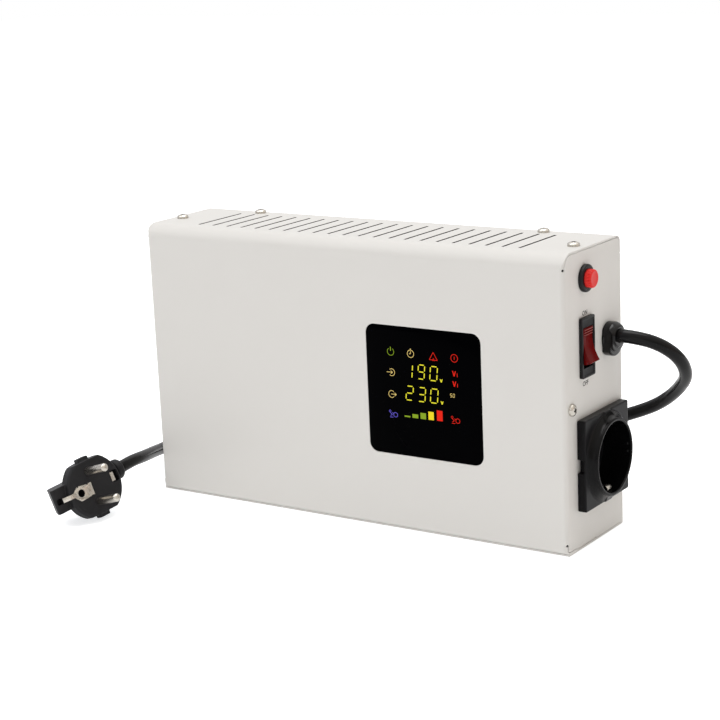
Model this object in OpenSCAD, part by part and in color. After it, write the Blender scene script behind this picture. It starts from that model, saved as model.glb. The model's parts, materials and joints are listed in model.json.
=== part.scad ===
// Relay voltage stabilizer for one appliance, in a slim folded steel case.
// Millimetres. The origin is at the bottom centre of the case: X runs along the width,
// the front faces -Y and Z is up. The outlet, switch, breaker and cord are on the +X wall.

/* [Case] */
// Width of the case
case_w = 280; // [276:1:330]
// Depth of the case, front to back
case_d = 66; // [66:1:90]
// Height of the case
case_h = 165; // [162:1:200]
// Thickness of the sheet steel
sheet_t = 1; // [0.8:0.1:1.2]
// Outer radius of the bend between the front and the top
top_bend_r = 8; // [5:0.5:10]
// Outer radius of the other bends in front
edge_bend_r = 2.5; // [2:0.1:3.5]
// Outer radius of the bend between the top and its back lip
back_bend_r = 4; // [2.5:0.1:5]
// Height of the lip folded down at the back
back_lip = 10; // [8:0.5:14]
// Width of the lip folded under the front
front_lip = 11; // [8:0.5:14]
// Width of the flanges folded in from the side walls
flange_w = 11; // [10:0.5:13]
// Width of the seams between the folded faces
seam_gap = 0.3; // [0.2:0.05:0.5]
// Distance of the lower relief holes from the case's bottom
notch_low = 6.2; // [6:0.1:10]
// Distance of the upper relief holes from the case's top
notch_high = 8.4; // [8:0.1:12]
// Width of a relief hole
notch_h = 1.4; // [0.8:0.1:1.8]
// How far the floor plate stays behind the front
floor_set = 1.5; // [1:0.1:3]
// Width of the flange at the top of the back plate
back_flange = 19; // [16:0.5:22]

/* [Vent slots] */
// Least distance from the first and last slot to the case's side faces
vent_side = 30; // [22:1:60]
// Distance between neighbouring slots
vent_pitch = 10.3; // [8:0.1:10.6]
// Width of a slot
vent_w = 1.6; // [1:0.1:3]
// Length of a slot
vent_len = 41; // [20:0.5:43]
// Distance from the front face to the slots
vent_front = 11; // [10:0.5:14]
// Length of a back slot
back_vent_len = 40; // [20:1:44]
// Height of the lower end of the back slots
back_vent_z = 96; // [92:1:100]

/* [Window] */
// Width and height of the display window
window_size = 74; // [66:1:78]
// Corner radius of the window
window_r = 5.5; // [3:0.5:8]
// Distance from the window's centre to the right side face
window_side = 88; // [86:1:95]
// Height of the window's centre
window_z = 81.3; // [78:0.1:86]
// Clearance round the window in the front panel
window_gap = 0.15; // [0.1:0.05:0.3]
// Width of the rim glued behind the front panel
window_rim = 3; // [2:0.5:4]
// Thickness of that rim
window_rim_t = 1.2; // [1:0.1:1.6]
// Width of the display module
module_w = 56; // [40:1:60]
// Height of the display module
module_h = 60; // [40:1:62]
// Depth of the display module
module_t = 8; // [6:0.5:8.4]
// Width and height of the display board
display_board_size = 84; // [82:1:88]
// Thickness of both circuit boards
board_t = 1.6; // [1:0.1:1.8]
// Length of the spacers behind the display board
spacer_len = 3; // [2.5:0.1:3.2]
// Distance of the board's screws from its edge
board_edge = 4; // [3.6:0.1:6]

/* [Display carrier] */
// Height of the carrier strip
strip_h = 15; // [12:0.5:16]
// Width of the flange that the side screw holds
strip_flange = 13; // [12:0.5:13]
// Width of the frame behind the display board
carrier_frame = 12; // [10:0.5:16]

/* [Screws] */
// Radius of the sheet metal screws
screw_r = 1.5; // [1.2:0.1:1.7]
// Radius of their heads
screw_head_r = 3.9; // [3.2:0.1:4.2]
// Height of their heads
screw_head_h = 2.4; // [1.8:0.1:2.6]
// Length of their shanks
screw_len = 4; // [3:0.1:4.2]
// Clearance round the shanks
screw_gap = 0.1; // [0.05:0.05:0.3]
// Distance of the front top screws from the side walls' faces
top_screw_side = 7.4; // [7:0.1:9]
// Distance of the front top screws from the front face
top_screw_front = 26; // [18:0.5:26]
// Distance of the back top screws from the side walls' faces
back_screw_side = 42.5; // [30:0.5:60]
// Distance of the back top screws from the back face
back_screw_back = 8.2; // [8:0.1:15]
// Distance of the side screws from the front face
side_screw_front = 6.5; // [6:0.1:8]
// Height of the side screws
side_screw_z = 80.6; // [80:0.1:84]
// Distance of the floor screws from the case's middle, front and back
floor_screw_y = 17; // [10:0.5:20]

/* [Transformer] */
// Width of the laminated core
core_w = 96; // [88:1:98]
// Height of the core
core_h = 80; // [76:1:84]
// Distance from the core's middle to the left side face
core_side = 64; // [63:1:68]
// Distance from the back plate to the winding
winding_back_gap = 0.6; // [0.4:0.1:1.5]
// Distance from the display carrier to the winding
winding_front_gap = 1.6; // [1.2:0.1:2.5]
// How far the winding stands out of the stack of laminations, front and back
winding_bulge = 8; // [6:0.5:8.2]
// Wall of the bobbin
bobbin_t = 1.4; // [1:0.1:1.8]
// Clearance between the bobbin and the core
bobbin_gap = 0.4; // [0.2:0.1:0.8]
// Thickness of the clamp angles
clamp_t = 1.5; // [1.2:0.1:2]
// Thickness of the clamps' feet
clamp_foot_t = 2.5; // [2:0.1:3]
// Radius of the clamp bolts and of the screws into the feet
bolt_r = 2; // [1.5:0.1:2.2]

/* [Control board] */
// Gap between the transformer's core and the board
control_gap = 14; // [12:1:16]
// Distance from the board to the right side face
control_side = 50; // [48:1:52]
// Height of the control board
control_h = 110; // [104:1:112]
// Height of its lower edge
control_z = 20; // [12:1:24]
// Length of its standoffs
standoff_len = 8; // [6:0.5:9]
// Least distance between the middles of neighbouring relays
relay_pitch = 20.5; // [19:0.1:20.6]
// Width of a relay
relay_w = 19; // [16:0.5:19]
// How far a relay stands off the board
relay_h = 15.5; // [12:0.5:16]
// Length of a relay
relay_l = 15.5; // [14:0.5:20]

/* [Outlet] */
// How far the plate reaches past the collar
plate_border = 4.3; // [3:0.1:5]
// Thickness of the plate
plate_t = 5; // [3:0.1:6]
// Radius of the recess for the plug
recess_r = 19.7; // [19.5:0.1:20]
// Depth of the recess
recess_depth = 17.5; // [17:0.1:18]
// Height of the collar over the plate
collar_h = 5.2; // [4:0.1:8]
// Wall of the collar at its rim
collar_wall = 1.5; // [1.2:0.1:2]
// How far the collar's foot spreads
collar_flare = 2.6; // [1.5:0.1:3]
// Distance between the pins of a plug
pin_spacing = 19; // [19:0.1:19.2]
// Radius of a pin
pin_r = 2.4; // [2.4:0.01:2.45]
// Radius of the outlet's pin holes
pin_hole_r = 2.6; // [2.5:0.05:2.8]

/* [Breaker] */
// Distance of the breaker's and the switch's axis from the case's middle, towards the front
control_line = 9.4; // [8:0.1:10]
// Width of the ring nut round the bush
nut_wall = 1.3; // [1.1:0.1:2]
// Thickness of the ring nut
nut_t = 2.4; // [2:0.1:3]
// Wall of the threaded bush
bush_wall = 0.85; // [0.7:0.05:1.2]
// Radius of the reset button
button_r = 5; // [4.5:0.1:5.1]
// How far the button stands out of the nut
button_out = 3.6; // [3:0.1:6]
// How far the button jumps out when the breaker trips
button_travel = 3.5; // [2:0.1:4]
// Radial clearance between the button and its bush
button_gap = 0.35; // [0.3:0.01:0.5]

/* [Switch] */
// How far the bezel reaches past the switch's body at the sides
bezel_side = 1.1; // [0.8:0.1:1.6]
// How far it reaches past the body at the ends
bezel_end = 3.75; // [2:0.05:4.5]
// Wall of the switch's body
switch_wall = 0.6; // [0.5:0.05:1]
// Thickness of the bezel
bezel_t = 2; // [1.5:0.1:2.5]
// How much lower than the bezel's centre the rocker's pivot lies
pivot_low = 0.1; // [0:0.1:1.4]
// Width of the rocker
rocker_w = 10.4; // [9.8:0.1:10.6]
// Length of each half of the rocker's face
rocker_half = 9.5; // [9:0.1:10.2]
// Depth of the pivot under the bezel's face
pivot_depth = 5; // [4:0.1:5.5]
// Angle that the rocker turns to each side of its middle
rocker_throw = 12; // [8:0.5:13]
// Clearance round the rocker
rocker_gap = 0.4; // [0.3:0.05:0.6]
// Radius of the pivot pins
pivot_r = 1.3; // [1:0.05:1.5]
// Radial clearance of the pivot pins
pivot_gap = 0.06; // [0.03:0.01:0.1]

/* [Gland and cord] */
// Distance of the gland's axis from the case's back
gland_back = 16; // [12:0.1:17]
// Radius of the gland's head
gland_head_r = 9.7; // [9:0.1:10]
// How far the gland stands out of the wall
gland_out = 7.3; // [6:0.1:9.6]
// Radius of the gland's shank
gland_r = 7.5; // [7:0.1:7.8]
// Distance of the flats on its head from its axis
gland_flat = 6.6; // [6:0.1:8]
// How much higher than the gland's axis the cord leaves
cord_lift = 1.7; // [0:0.1:2]
// Diameter of the cord
cord_d = 7.5; // [7:0.1:7.6]
// Gap between neighbouring turns of the coil
coil_gap = 0.6; // [0.5:0.1:0.8]

/* [Plug] */
// Radius of the plug's face
plug_r = 19; // [18:0.1:19.2]
// Depth of the plug behind its face
plug_depth = 20; // [18:0.5:20.5]
// Radius of the plug's back
plug_back_r = 12; // [10:0.5:13]
// How far the pins stand out of the face
pin_len = 19; // [19:0.1:19.5]
// Distance of the earth hole from the face's centre
earth_hole = 10; // [9.8:0.1:10.2]
// Distance of the flats with the lugs from the face's centre
plug_flat = 16.5; // [16:0.1:18]
// Width of the block beside the earth hole
plug_block_w = 16; // [14:0.5:17]
// How far the block reaches from the face's centre
plug_block_out = 26.5; // [22:0.5:27]
// Depth of the cord's axis behind the face
plug_cord_depth = 10; // [9:0.5:11]
// How much higher than the face's centre the cord leaves
plug_cord_up = 1.4; // [0:0.1:2]
// Reach of the cord's sleeve from the face's centre
plug_sleeve = 28; // [27:0.5:36]

/* [Hidden] */
$fn = 64;
overrun = sheet_t; // how far a cut runs past the face it opens

half_w = case_w / 2;
front_y = -case_d / 2;
back_y = case_d / 2;
inner_x = half_w - sheet_t; // inner face of the side walls
back_in = back_y - sheet_t; // outer face of the back plate
back_face = back_in - sheet_t; // inner face of the back plate
roof_z = case_h - sheet_t; // inner face of the top
floor_end = back_in - edge_bend_r; // where the floor plate starts to bend up
chassis_w = case_w - 2 * (sheet_t + seam_gap);

// Places on the side wall, as shares of the case's height and depth
breaker_height_share = 0.90182;
bezel_height_share = 0.67636;
gland_height_share = 0.67152;
outlet_height_share = 0.28909;
outlet_depth_share = 0.0697;
breaker_z = breaker_height_share * case_h;
bezel_z = bezel_height_share * case_h;
gland_z = gland_height_share * case_h;
gland_y = back_y - gland_back;
outlet_z = outlet_height_share * case_h;
outlet_y = outlet_depth_share * case_d;
window_x = half_w - window_side;

// Stack behind the window
lens_back = front_y + sheet_t + window_rim_t;
module_back = lens_back + module_t;
display_board_back = module_back + board_t;
carrier_y = display_board_back + spacer_len;
carrier_back = carrier_y + sheet_t;

// Transformer
core_x = core_side - half_w;
core_leg = core_w / 6; // E sheets: three legs and two windows
winding_depth = back_face - winding_back_gap - carrier_back - winding_front_gap;
core_stack = winding_depth - 2 * winding_bulge;
core_y = back_face - winding_back_gap - winding_depth / 2;
core_front = core_y - core_stack / 2;
core_back = core_y + core_stack / 2;
core_z = sheet_t + clamp_foot_t; // underside of the core
core_window_w = (core_w - 4 * core_leg) / 2;
core_window_h = core_h - 2 * core_leg;
bolt_inset = core_leg / 2;

// Control board
control_x = core_x + core_w / 2 + control_gap;
control_w = half_w - control_side - control_x;
relay_count = floor(control_w / relay_pitch);
control_back = back_face - standoff_len;
control_front = control_back - board_t;

// Outlet
plate_face = half_w + plate_t;
rim_x = plate_face + collar_h;
recess_floor = rim_x - recess_depth;
tube_r = recess_r + collar_wall;
plate_size = 2 * (tube_r + plate_border);
insert_depth = 1.4 * recess_depth;
insert_back = recess_floor - insert_depth;
clip_t = 0.8;
clip_w = 5;
clip_z = recess_r - 2 * clip_t; // distance of a clip's inner face from the axis
clip_bump = recess_floor + recess_depth / 2; // where a clip bends in most

// Cord: each list holds points of the centre line, chosen by hand
cord_r = cord_d / 2;
gland_route = [[147.3, 17, 112.5], [156.7, 20, 111.2], [164.5, 25.1, 108.1], [170.1, 31.5, 102.9],
  [172.7, 38.6, 96.4], [172.3, 45.8, 89.5], [169.3, 52.7, 82.9], [164.2, 58.9, 77],
  [158.1, 64.2, 71.1], [151, 68.4, 65.4], [143, 71.3, 60.1], [134.3, 72.9, 55.7], [125, 73.6, 51.8],
  [115.8, 73.9, 48], [106.8, 74.5, 43.7], [98.4, 76.1, 38.6], [90.7, 78.9, 32.8], [83.9, 83.1, 26.8],
  [78, 88.6, 20.8], [72.7, 95.1, 15.5], [67.6, 102.5, 11.1], [62.2, 110.2, 7.8], [56.1, 117.8, 5.6],
  [49, 124.8, 4.3], [41.1, 130.9, 3.8]];
plug_route = [[-1.8, 140.5, 11.85], [-15.2, 138.6, 11.7], [-28.4, 136.2, 11.3], [-41.6, 133.2, 10.8],
  [-54.6, 129.7, 10.1], [-67.5, 125.8, 9.4], [-80.3, 121.4, 8.5], [-92.8, 116.4, 7.6],
  [-105.1, 110.8, 6.6], [-117, 104.5, 5.7], [-128.4, 97.2, 4.8], [-139, 89, 4.2], [-148.7, 79.5, 3.7],
  [-157, 68.9, 3.7], [-163.8, 57.2, 4.3], [-168.5, 44.6, 5.6], [-170.9, 31.5, 7.5], [-170.9, 18.2, 10],
  [-168.4, 5.2, 12.6], [-163.7, -7.3, 14.7], [-158.1, -19.4, 17.1], [-152.4, -31.4, 19.4],
  [-147.3, -43.7, 21.5], [-143.7, -56.7, 23], [-142.2, -70.1, 22.5]];

// Coil: two layers that spiral in and out again
coil_x = 10;
coil_behind = 59; // distance from the case's back to the coil's middle
coil_y = back_y + coil_behind;
coil_mid_r = 41;
coil_turns = 4 + 35 / 360;
coil_start_angle = 60;
coil_rings = 24; // rings in each turn
coil_step = cord_d + coil_gap;
coil_angle = 360 * coil_turns;
coil_out_r = coil_mid_r + coil_step * coil_turns / 4;

// Plug: the face's centre, and the turn about X, Y and Z
plug_side = 3.1; // distance of the face's centre from the left side face
plug_ahead = 66.3; // distance of the face's centre from the front
plug_up = 20.15;
plug_at = [plug_side - half_w, front_y - plug_ahead, plug_up];
plug_turn = [9, -18, -12];

// Vector helpers
function unit(v) = v / norm(v);
function turned(v, a) = let (
    x = [v[0], v[1] * cos(a[0]) - v[2] * sin(a[0]), v[1] * sin(a[0]) + v[2] * cos(a[0])],
    y = [x[0] * cos(a[1]) + x[2] * sin(a[1]), x[1], -x[0] * sin(a[1]) + x[2] * cos(a[1])]
  ) [y[0] * cos(a[2]) - y[1] * sin(a[2]), y[0] * sin(a[2]) + y[1] * cos(a[2]), y[2]];

// Centre line of the coil, with a straight end of one diameter at each side
function coil_point(a) = let (
    inward = min(a, coil_angle - a),
    r = coil_out_r - coil_step * inward / 360,
    climb = min(1, max(0, (a - coil_angle / 2) / 180 + 0.5)),
    turn = coil_start_angle + a
  ) [coil_x + r * cos(turn), coil_y + r * sin(turn), cord_r + coil_step * climb];
function coil_heading(a) = unit(coil_point(a + 0.5) - coil_point(a - 0.5));
coil_start = coil_point(0) - cord_d * [-sin(coil_start_angle), cos(coil_start_angle), 0];
coil_end_angle = coil_start_angle + coil_angle;
coil_end = coil_point(coil_angle) + cord_d * [-sin(coil_end_angle), cos(coil_end_angle), 0];
coil_count = round(coil_turns * coil_rings);
coil_path = concat([coil_start], [for (i = [0:coil_count]) coil_point(coil_angle * i / coil_count)],
  [coil_end]);
coil_least = min([for (i = [0:len(coil_path) - 1], j = [i + coil_rings / 2:len(coil_path) - 1])
  norm(coil_path[i] - coil_path[j])]) - cord_d;
echo(str("least gap of the coil to itself: ", coil_least));

// Where the plug's sleeve lets the cord out
sleeve_end = plug_at + turned([-plug_cord_depth, plug_sleeve, plug_cord_up], plug_turn);

// A route moved so that it starts and ends at two given points
function led(route, from, to) = let (n = len(route) - 1) [for (i = [0:n])
  route[i] + (1 - i / n) * (from - route[0]) + i / n * (to - route[n])];
gland_exit = [half_w + gland_out, gland_y, gland_z + cord_lift];

// A tube swept along points: each ring stands square to the line through its neighbours
function path_heading(p, i) = unit(p[min(i + 1, len(p) - 1)] - p[max(i - 1, 0)]);
function ring(c, heading, r, sides) = let (
    side = unit(cross(heading, [0, 0, 1])),
    up = cross(side, heading)
  ) [for (k = [0:sides - 1]) c + r * (cos(360 * k / sides - 90) * side + sin(360 * k / sides - 90) * up)];
module tube(path, r, sides, first = undef, last = undef) {
  n = len(path);
  points = [for (i = [0:n - 1]) each ring(path[i],
    i == 0 && !is_undef(first) ? unit(first) : i == n - 1 && !is_undef(last) ? unit(last)
    : path_heading(path, i), r, sides)];
  walls = [for (i = [0:n - 2], k = [0:sides - 1]) let (
      a = i * sides + k,
      b = i * sides + (k + 1) % sides
    ) each [[a, a + sides, b], [b, a + sides, b + sides]]];
  starts = [for (k = [1:sides - 2]) [0, k, k + 1]];
  ends = [for (k = [1:sides - 2]) (n - 1) * sides * [1, 1, 1] + [0, k + 1, k]];
  polyhedron(points, concat(starts, walls, ends), convexity = 10);
}

// Shape helpers
module block(x, y, z) {
  translate([x[0], y[0], z[0]]) cube([x[1] - x[0], y[1] - y[0], z[1] - z[0]]);
}
module rod_x(r, x, y, z) {
  translate([x[0], y, z]) rotate([0, 90, 0]) cylinder(r = r, h = x[1] - x[0]);
}
module rod_y(r, x, y, z) {
  translate([x, y[0], z]) rotate([-90, 0, 0]) cylinder(r = r, h = y[1] - y[0]);
}
module rod_z(r, x, y, z) {
  translate([x, y, z[0]]) cylinder(r = r, h = z[1] - z[0]);
}
module along_x(x) { // a shape drawn in Y and Z, made thick along X
  translate([x[0], 0, 0]) rotate([90, 0, 90]) linear_extrude(x[1] - x[0]) children();
}
module along_y(y) { // a shape drawn in X and Z, made thick along Y
  translate([0, y[1], 0]) rotate([90, 0, 0]) linear_extrude(y[1] - y[0]) children();
}
module both_sides() {
  for (side = [0, 1]) mirror([side, 0, 0]) children();
}
module corner_cut(r) {
  difference() {
    translate([-overrun, -overrun]) square(r + overrun);
    translate([r, r]) circle(r);
  }
}
// A rectangle from its lower left corner, with a radius for each corner, anticlockwise
module rounded(size, radii) {
  difference() {
    square(size);
    for (i = [0:3]) if (radii[i] > 0)
      translate([i == 1 || i == 2 ? size[0] : 0, i > 1 ? size[1] : 0]) rotate(90 * i)
        corner_cut(radii[i]);
  }
}
module rounded_at(centre, size, r) {
  translate(centre - size / 2) rounded(size, [r, r, r, r]);
}
module on_corners(centre, reach) { // four places round a centre in X and Z
  for (i = [-1, 1], k = [-1, 1]) translate([centre[0] + i * reach[0], 0, centre[1] + k * reach[1]])
    children();
}

// Case

// Side view of the folded cover, moved in by an amount
module cover_side(inset) {
  translate([front_y + inset, sheet_t + inset])
    rounded([case_d - 2 * inset, roof_z - 2 * inset],
      [edge_bend_r - inset, 0, back_bend_r - inset, top_bend_r - inset]);
}
module wrap_sheet() { // lip under the front, the front, the top and the back lip
  along_x([-half_w, half_w]) difference() {
    cover_side(0);
    cover_side(sheet_t);
    translate([front_y + front_lip, 0]) square([case_d, 3 * sheet_t]);
    translate([back_in - overrun, 0]) square([3 * sheet_t, case_h - back_lip]);
  }
}
module upright_bend() { // bend between the front and a side wall
  translate([half_w - edge_bend_r, front_y + edge_bend_r, notch_low])
    linear_extrude(case_h - notch_low - notch_high) intersection() {
      difference() {
        circle(edge_bend_r);
        circle(edge_bend_r - sheet_t);
      }
      translate([0, -edge_bend_r]) square(edge_bend_r);
    }
}
module side_wall() {
  along_x([inner_x, half_w]) difference() {
    union() {
      cover_side(sheet_t + seam_gap);
      translate([0, sheet_t + seam_gap]) square([back_y, case_h - back_lip - sheet_t - 2 * seam_gap]);
      translate([floor_end + seam_gap, 0]) square([back_y - floor_end - seam_gap, case_h / 2]);
    }
    translate([front_y, notch_low]) square([edge_bend_r, case_h - notch_low - notch_high]);
  }
  block([half_w - flange_w, half_w - sheet_t / 2],
    [front_y + top_bend_r, front_y + 2 * top_screw_front - top_bend_r], [roof_z - sheet_t, roof_z]);
  block([half_w - flange_w, half_w - sheet_t / 2],
    [front_y + front_lip + seam_gap, back_face - edge_bend_r], [sheet_t, 2 * sheet_t]);
}
vent_count = floor((case_w - 2 * vent_side) / vent_pitch) + 1;
module vent_slots() {
  for (i = [0:vent_count - 1]) translate([(i - (vent_count - 1) / 2) * vent_pitch, 0, 0])
    block([-vent_w / 2, vent_w / 2], [front_y + vent_front, front_y + vent_front + vent_len],
      [roof_z - overrun, case_h + overrun]);
}
module top_screw_places() {
  both_sides() {
    translate([half_w - top_screw_side, front_y + top_screw_front, case_h]) children();
    translate([half_w - back_screw_side, back_y - back_screw_back, case_h]) children();
  }
}
module side_screw_places() {
  both_sides() translate([half_w, front_y + side_screw_front, side_screw_z]) rotate([0, 90, 0])
    children();
}
module floor_screw_places() {
  both_sides() for (i = [-1, 1])
    translate([half_w - (flange_w + sheet_t) / 2, i * floor_screw_y, 0]) children();
}
// Hole for a screw from the face down or inwards
module screw_hole() {
  translate([0, 0, -screw_len - screw_head_h])
    cylinder(r = screw_r + screw_gap, h = screw_len + 2 * screw_head_h);
}
module housing_cover() color("#dcdad5") difference() {
  union() {
    difference() {
      wrap_sheet();
      both_sides() {
        block([half_w - edge_bend_r, half_w + overrun],
          [front_y - overrun, front_y + edge_bend_r], [notch_low, case_h - notch_high]);
        translate([-half_w, front_y, -overrun]) linear_extrude(case_h + 2 * overrun)
          corner_cut(edge_bend_r);
      }
    }
    both_sides() {
      upright_bend();
      side_wall();
    }
  }
  vent_slots();
  top_screw_places() screw_hole();
  side_screw_places() screw_hole();
  floor_screw_places() cylinder(r = screw_r + screw_gap, h = 4 * sheet_t);
  both_sides() for (z = [notch_low, case_h - notch_high])
    translate([half_w - edge_bend_r, front_y + edge_bend_r, z]) rotate([90, 0, 45])
      cylinder(d = notch_h, h = 2 * edge_bend_r);
  along_y([front_y - overrun, front_y + sheet_t + overrun])
    rounded_at([window_x, window_z], [1, 1] * (window_size + 2 * window_gap), window_r + window_gap);
  along_x([inner_x - overrun, half_w + overrun]) {
    translate([outlet_y, outlet_z]) circle(tube_r + screw_gap);
    translate([-control_line, breaker_z]) circle(bush_r + screw_gap);
    translate([gland_y, gland_z]) circle(gland_r + screw_gap);
    rounded_at([-control_line, bezel_z], [switch_w + 2 * screw_gap, switch_h + 2 * screw_gap], screw_gap);
  }
}
keyhole_head_r = 4.5;
keyhole_slot_r = 2.2;
keyhole_len = 9;
keyhole_side = 40; // from the side face
keyhole_down = 25; // from the top
module keyhole() {
  rod_y(keyhole_head_r, 0, [back_face - overrun, back_in + overrun], 0);
  rod_y(keyhole_slot_r, 0, [back_face - overrun, back_in + overrun], keyhole_len);
  block([-keyhole_slot_r, keyhole_slot_r], [back_face - overrun, back_in + overrun], [0, keyhole_len]);
}
keyhole_x = half_w - keyhole_side;
keyhole_z = case_h - keyhole_down;
back_vent_count = floor((core_w - 2 * board_edge) / vent_pitch) + 1;
module back_vents() {
  for (i = [0:back_vent_count - 1])
    translate([core_x + (i - (back_vent_count - 1) / 2) * vent_pitch, 0, 0])
      block([-vent_w, vent_w], [back_face - overrun, back_in + overrun],
        [back_vent_z - back_vent_len, back_vent_z]);
}
module chassis() color("#c9c8c4") difference() {
  union() {
    block([-half_w, half_w], [front_y + floor_set, floor_end], [0, sheet_t]);
    along_x([-chassis_w / 2, chassis_w / 2]) difference() {
      translate([front_y + floor_set, 0])
        rounded([back_in - front_y - floor_set, roof_z], [0, edge_bend_r, back_bend_r, 0]);
      translate([front_y, sheet_t])
        rounded([back_face - front_y, roof_z - 2 * sheet_t],
          [0, edge_bend_r - sheet_t, back_bend_r - sheet_t, 0]);
      translate([front_y, sheet_t]) square([case_d - sheet_t - back_flange, case_h]);
    }
  }
  top_screw_places() screw_hole();
  floor_screw_places() flush_cut(screw_r);
  transformer_screw_places() flush_cut(bolt_r);
  both_sides() translate([keyhole_x, 0, keyhole_z]) keyhole();
  back_vents();
  control_corners() rod_y(screw_r, 0, [back_face - overrun, back_in + overrun], 0);
  rod_z(bolt_r + bolt_r / 2, earth_x, earth_y, [-overrun, sheet_t + overrun]);
}

// Screws

// Pan head with a cross recess, the underside of the head at the origin, pointing up
module pan_screw(shank) {
  difference() {
    rotate_extrude() difference() {
      intersection() {
        square([screw_head_r, screw_head_h]);
        translate([0, screw_head_h - head_dome]) circle(head_dome);
      }
    }
    cross_recess();
  }
  translate([0, 0, -shank]) cylinder(r = screw_r, h = shank + screw_head_h / 4);
}
head_dome = (screw_head_r ^ 2 + screw_head_h ^ 2) / (2 * screw_head_h);
recess_w = screw_head_r / 5;
module cross_recess() {
  for (turn = [0, 90]) rotate(turn)
    translate([-screw_head_r / 2, -recess_w / 2, screw_head_h / 2])
      cube([screw_head_r, recess_w, screw_head_h]);
}
// Flat head that ends level with the floor plate's underside
module flush_screw(r, shank) {
  cylinder(r1 = r + sheet_t, r2 = r, h = sheet_t);
  cylinder(r = r, h = shank);
}
module flush_cut(r) {
  cylinder(r1 = r + sheet_t, r2 = r, h = sheet_t);
  translate([0, 0, -overrun]) cylinder(r = r, h = 3 * overrun);
}
module top_screws() color("#b9b9b4") top_screw_places() pan_screw(screw_len);
module side_screws() color("#b9b9b4") side_screw_places() pan_screw(screw_len);
module floor_screws() color("#b9b9b4") floor_screw_places() flush_screw(screw_r, screw_len);
module hex_nut(r, h) { // across-corners radius twice the bolt's, with a true bore
  difference() {
    cylinder(r = 2 * r, h = h, $fn = 6);
    translate([0, 0, -overrun]) cylinder(r = r, h = h + 2 * overrun);
  }
}

// Window and display

module display_window() color("#0b0b0c") {
  along_y([front_y, front_y + sheet_t])
    rounded_at([window_x, window_z], [window_size, window_size], window_r);
  along_y([front_y + sheet_t, lens_back])
    rounded_at([window_x, window_z], [1, 1] * (window_size + 2 * window_rim), window_r + window_rim);
}
module display_module() color("#1d1d1f")
  along_y([lens_back, module_back]) rounded_at([window_x, window_z], [module_w, module_h], module_t / 8);
display_screw_reach = display_board_size / 2 - board_edge;
module display_corners() {
  on_corners([window_x, window_z], [display_screw_reach, display_screw_reach]) children();
}
module display_board() color("#1f5c38") difference() {
  along_y([module_back, display_board_back])
    rounded_at([window_x, window_z], [display_board_size, display_board_size], board_t);
  display_corners() rod_y(screw_r, 0, [module_back - overrun, display_board_back + overrun], 0);
}
module display_spacers() color("#d8c27a") display_corners() difference() {
  rod_y(2 * screw_r, 0, [display_board_back, carrier_y], 0);
  rod_y(screw_r, 0, [display_board_back - overrun, carrier_y + overrun], 0);
}
module display_screws() color("#b9b9b4") display_corners() {
  translate([0, module_back, 0]) rotate([90, 0, 0]) cylinder(r = 2 * screw_r, h = screw_head_h);
  rod_y(screw_r, 0, [module_back - screw_head_h / 2, carrier_back + 2 * screw_r], 0);
}
module display_nuts() color("#b9b9b4") display_corners()
  translate([0, carrier_back, 0]) rotate([-90, 0, 0]) hex_nut(screw_r, screw_head_h);
module display_carrier() color("#bcbec0") difference() {
  union() {
    along_y([carrier_y, carrier_back]) {
      translate([-inner_x, side_screw_z - strip_h / 2]) square([2 * inner_x, strip_h]);
      difference() {
        rounded_at([window_x, window_z], [1, 1] * (display_board_size + board_edge), board_edge);
        rounded_at([window_x, window_z], [1, 1] * (display_board_size - 2 * carrier_frame), board_edge);
      }
    }
    both_sides() block([inner_x - sheet_t, inner_x], [carrier_back - strip_flange, carrier_back],
      [side_screw_z - strip_h / 2, side_screw_z + strip_h / 2]);
  }
  display_corners() rod_y(screw_r, 0, [carrier_y - overrun, carrier_back + overrun], 0);
  side_screw_places() screw_hole();
}

// Transformer

module core_corners() {
  on_corners([core_x, core_z + core_h / 2], [core_w / 2 - bolt_inset, core_h / 2 - bolt_inset])
    children();
}
module transformer_core() color("#5d5f62") difference() {
  block([core_x - core_w / 2, core_x + core_w / 2], [core_front, core_back], [core_z, core_z + core_h]);
  for (side = [-1, 1])
    translate([core_x + side * (core_w - 2 * core_leg) / 2 - side * core_window_w / 2, 0, 0])
    block([-core_window_w / 2, core_window_w / 2], [core_front - overrun, core_back + overrun],
      [core_z + core_leg, core_z + core_leg + core_window_h]);
  core_corners() rod_y(bolt_r, 0, [core_front - overrun, core_back + overrun], 0);
}
bobbin_in = [2 * core_leg + 2 * bobbin_gap, core_stack + 2 * bobbin_gap];
bobbin_out = bobbin_in + 2 * bobbin_t * [1, 1];
flange_out = [2 * core_leg + 2 * core_window_w - 2 * bobbin_gap, winding_depth];
bobbin_z = core_z + core_leg + bobbin_gap;
bobbin_h = core_window_h - 2 * bobbin_gap;
module bobbin_bore() {
  translate([0, 0, -overrun]) linear_extrude(bobbin_h + 2 * overrun)
    rounded_at([0, 0], bobbin_in, bobbin_gap);
}
module transformer_bobbin() color("#e8e2cf") translate([core_x, core_y, bobbin_z]) difference() {
  union() {
    linear_extrude(bobbin_h) rounded_at([0, 0], bobbin_out, bobbin_t);
    for (z = [0, bobbin_h - bobbin_t]) translate([0, 0, z])
      linear_extrude(bobbin_t) rounded_at([0, 0], flange_out, bobbin_t);
  }
  bobbin_bore();
}
module transformer_winding() color("#b5652a") translate([core_x, core_y, bobbin_z + bobbin_t])
  linear_extrude(bobbin_h - 2 * bobbin_t) difference() {
    rounded_at([0, 0], flange_out - bobbin_t * [1, 1], 4 * bobbin_t);
    rounded_at([0, 0], bobbin_out, bobbin_t);
  }
clamp_h = core_leg - bobbin_gap;
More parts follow.
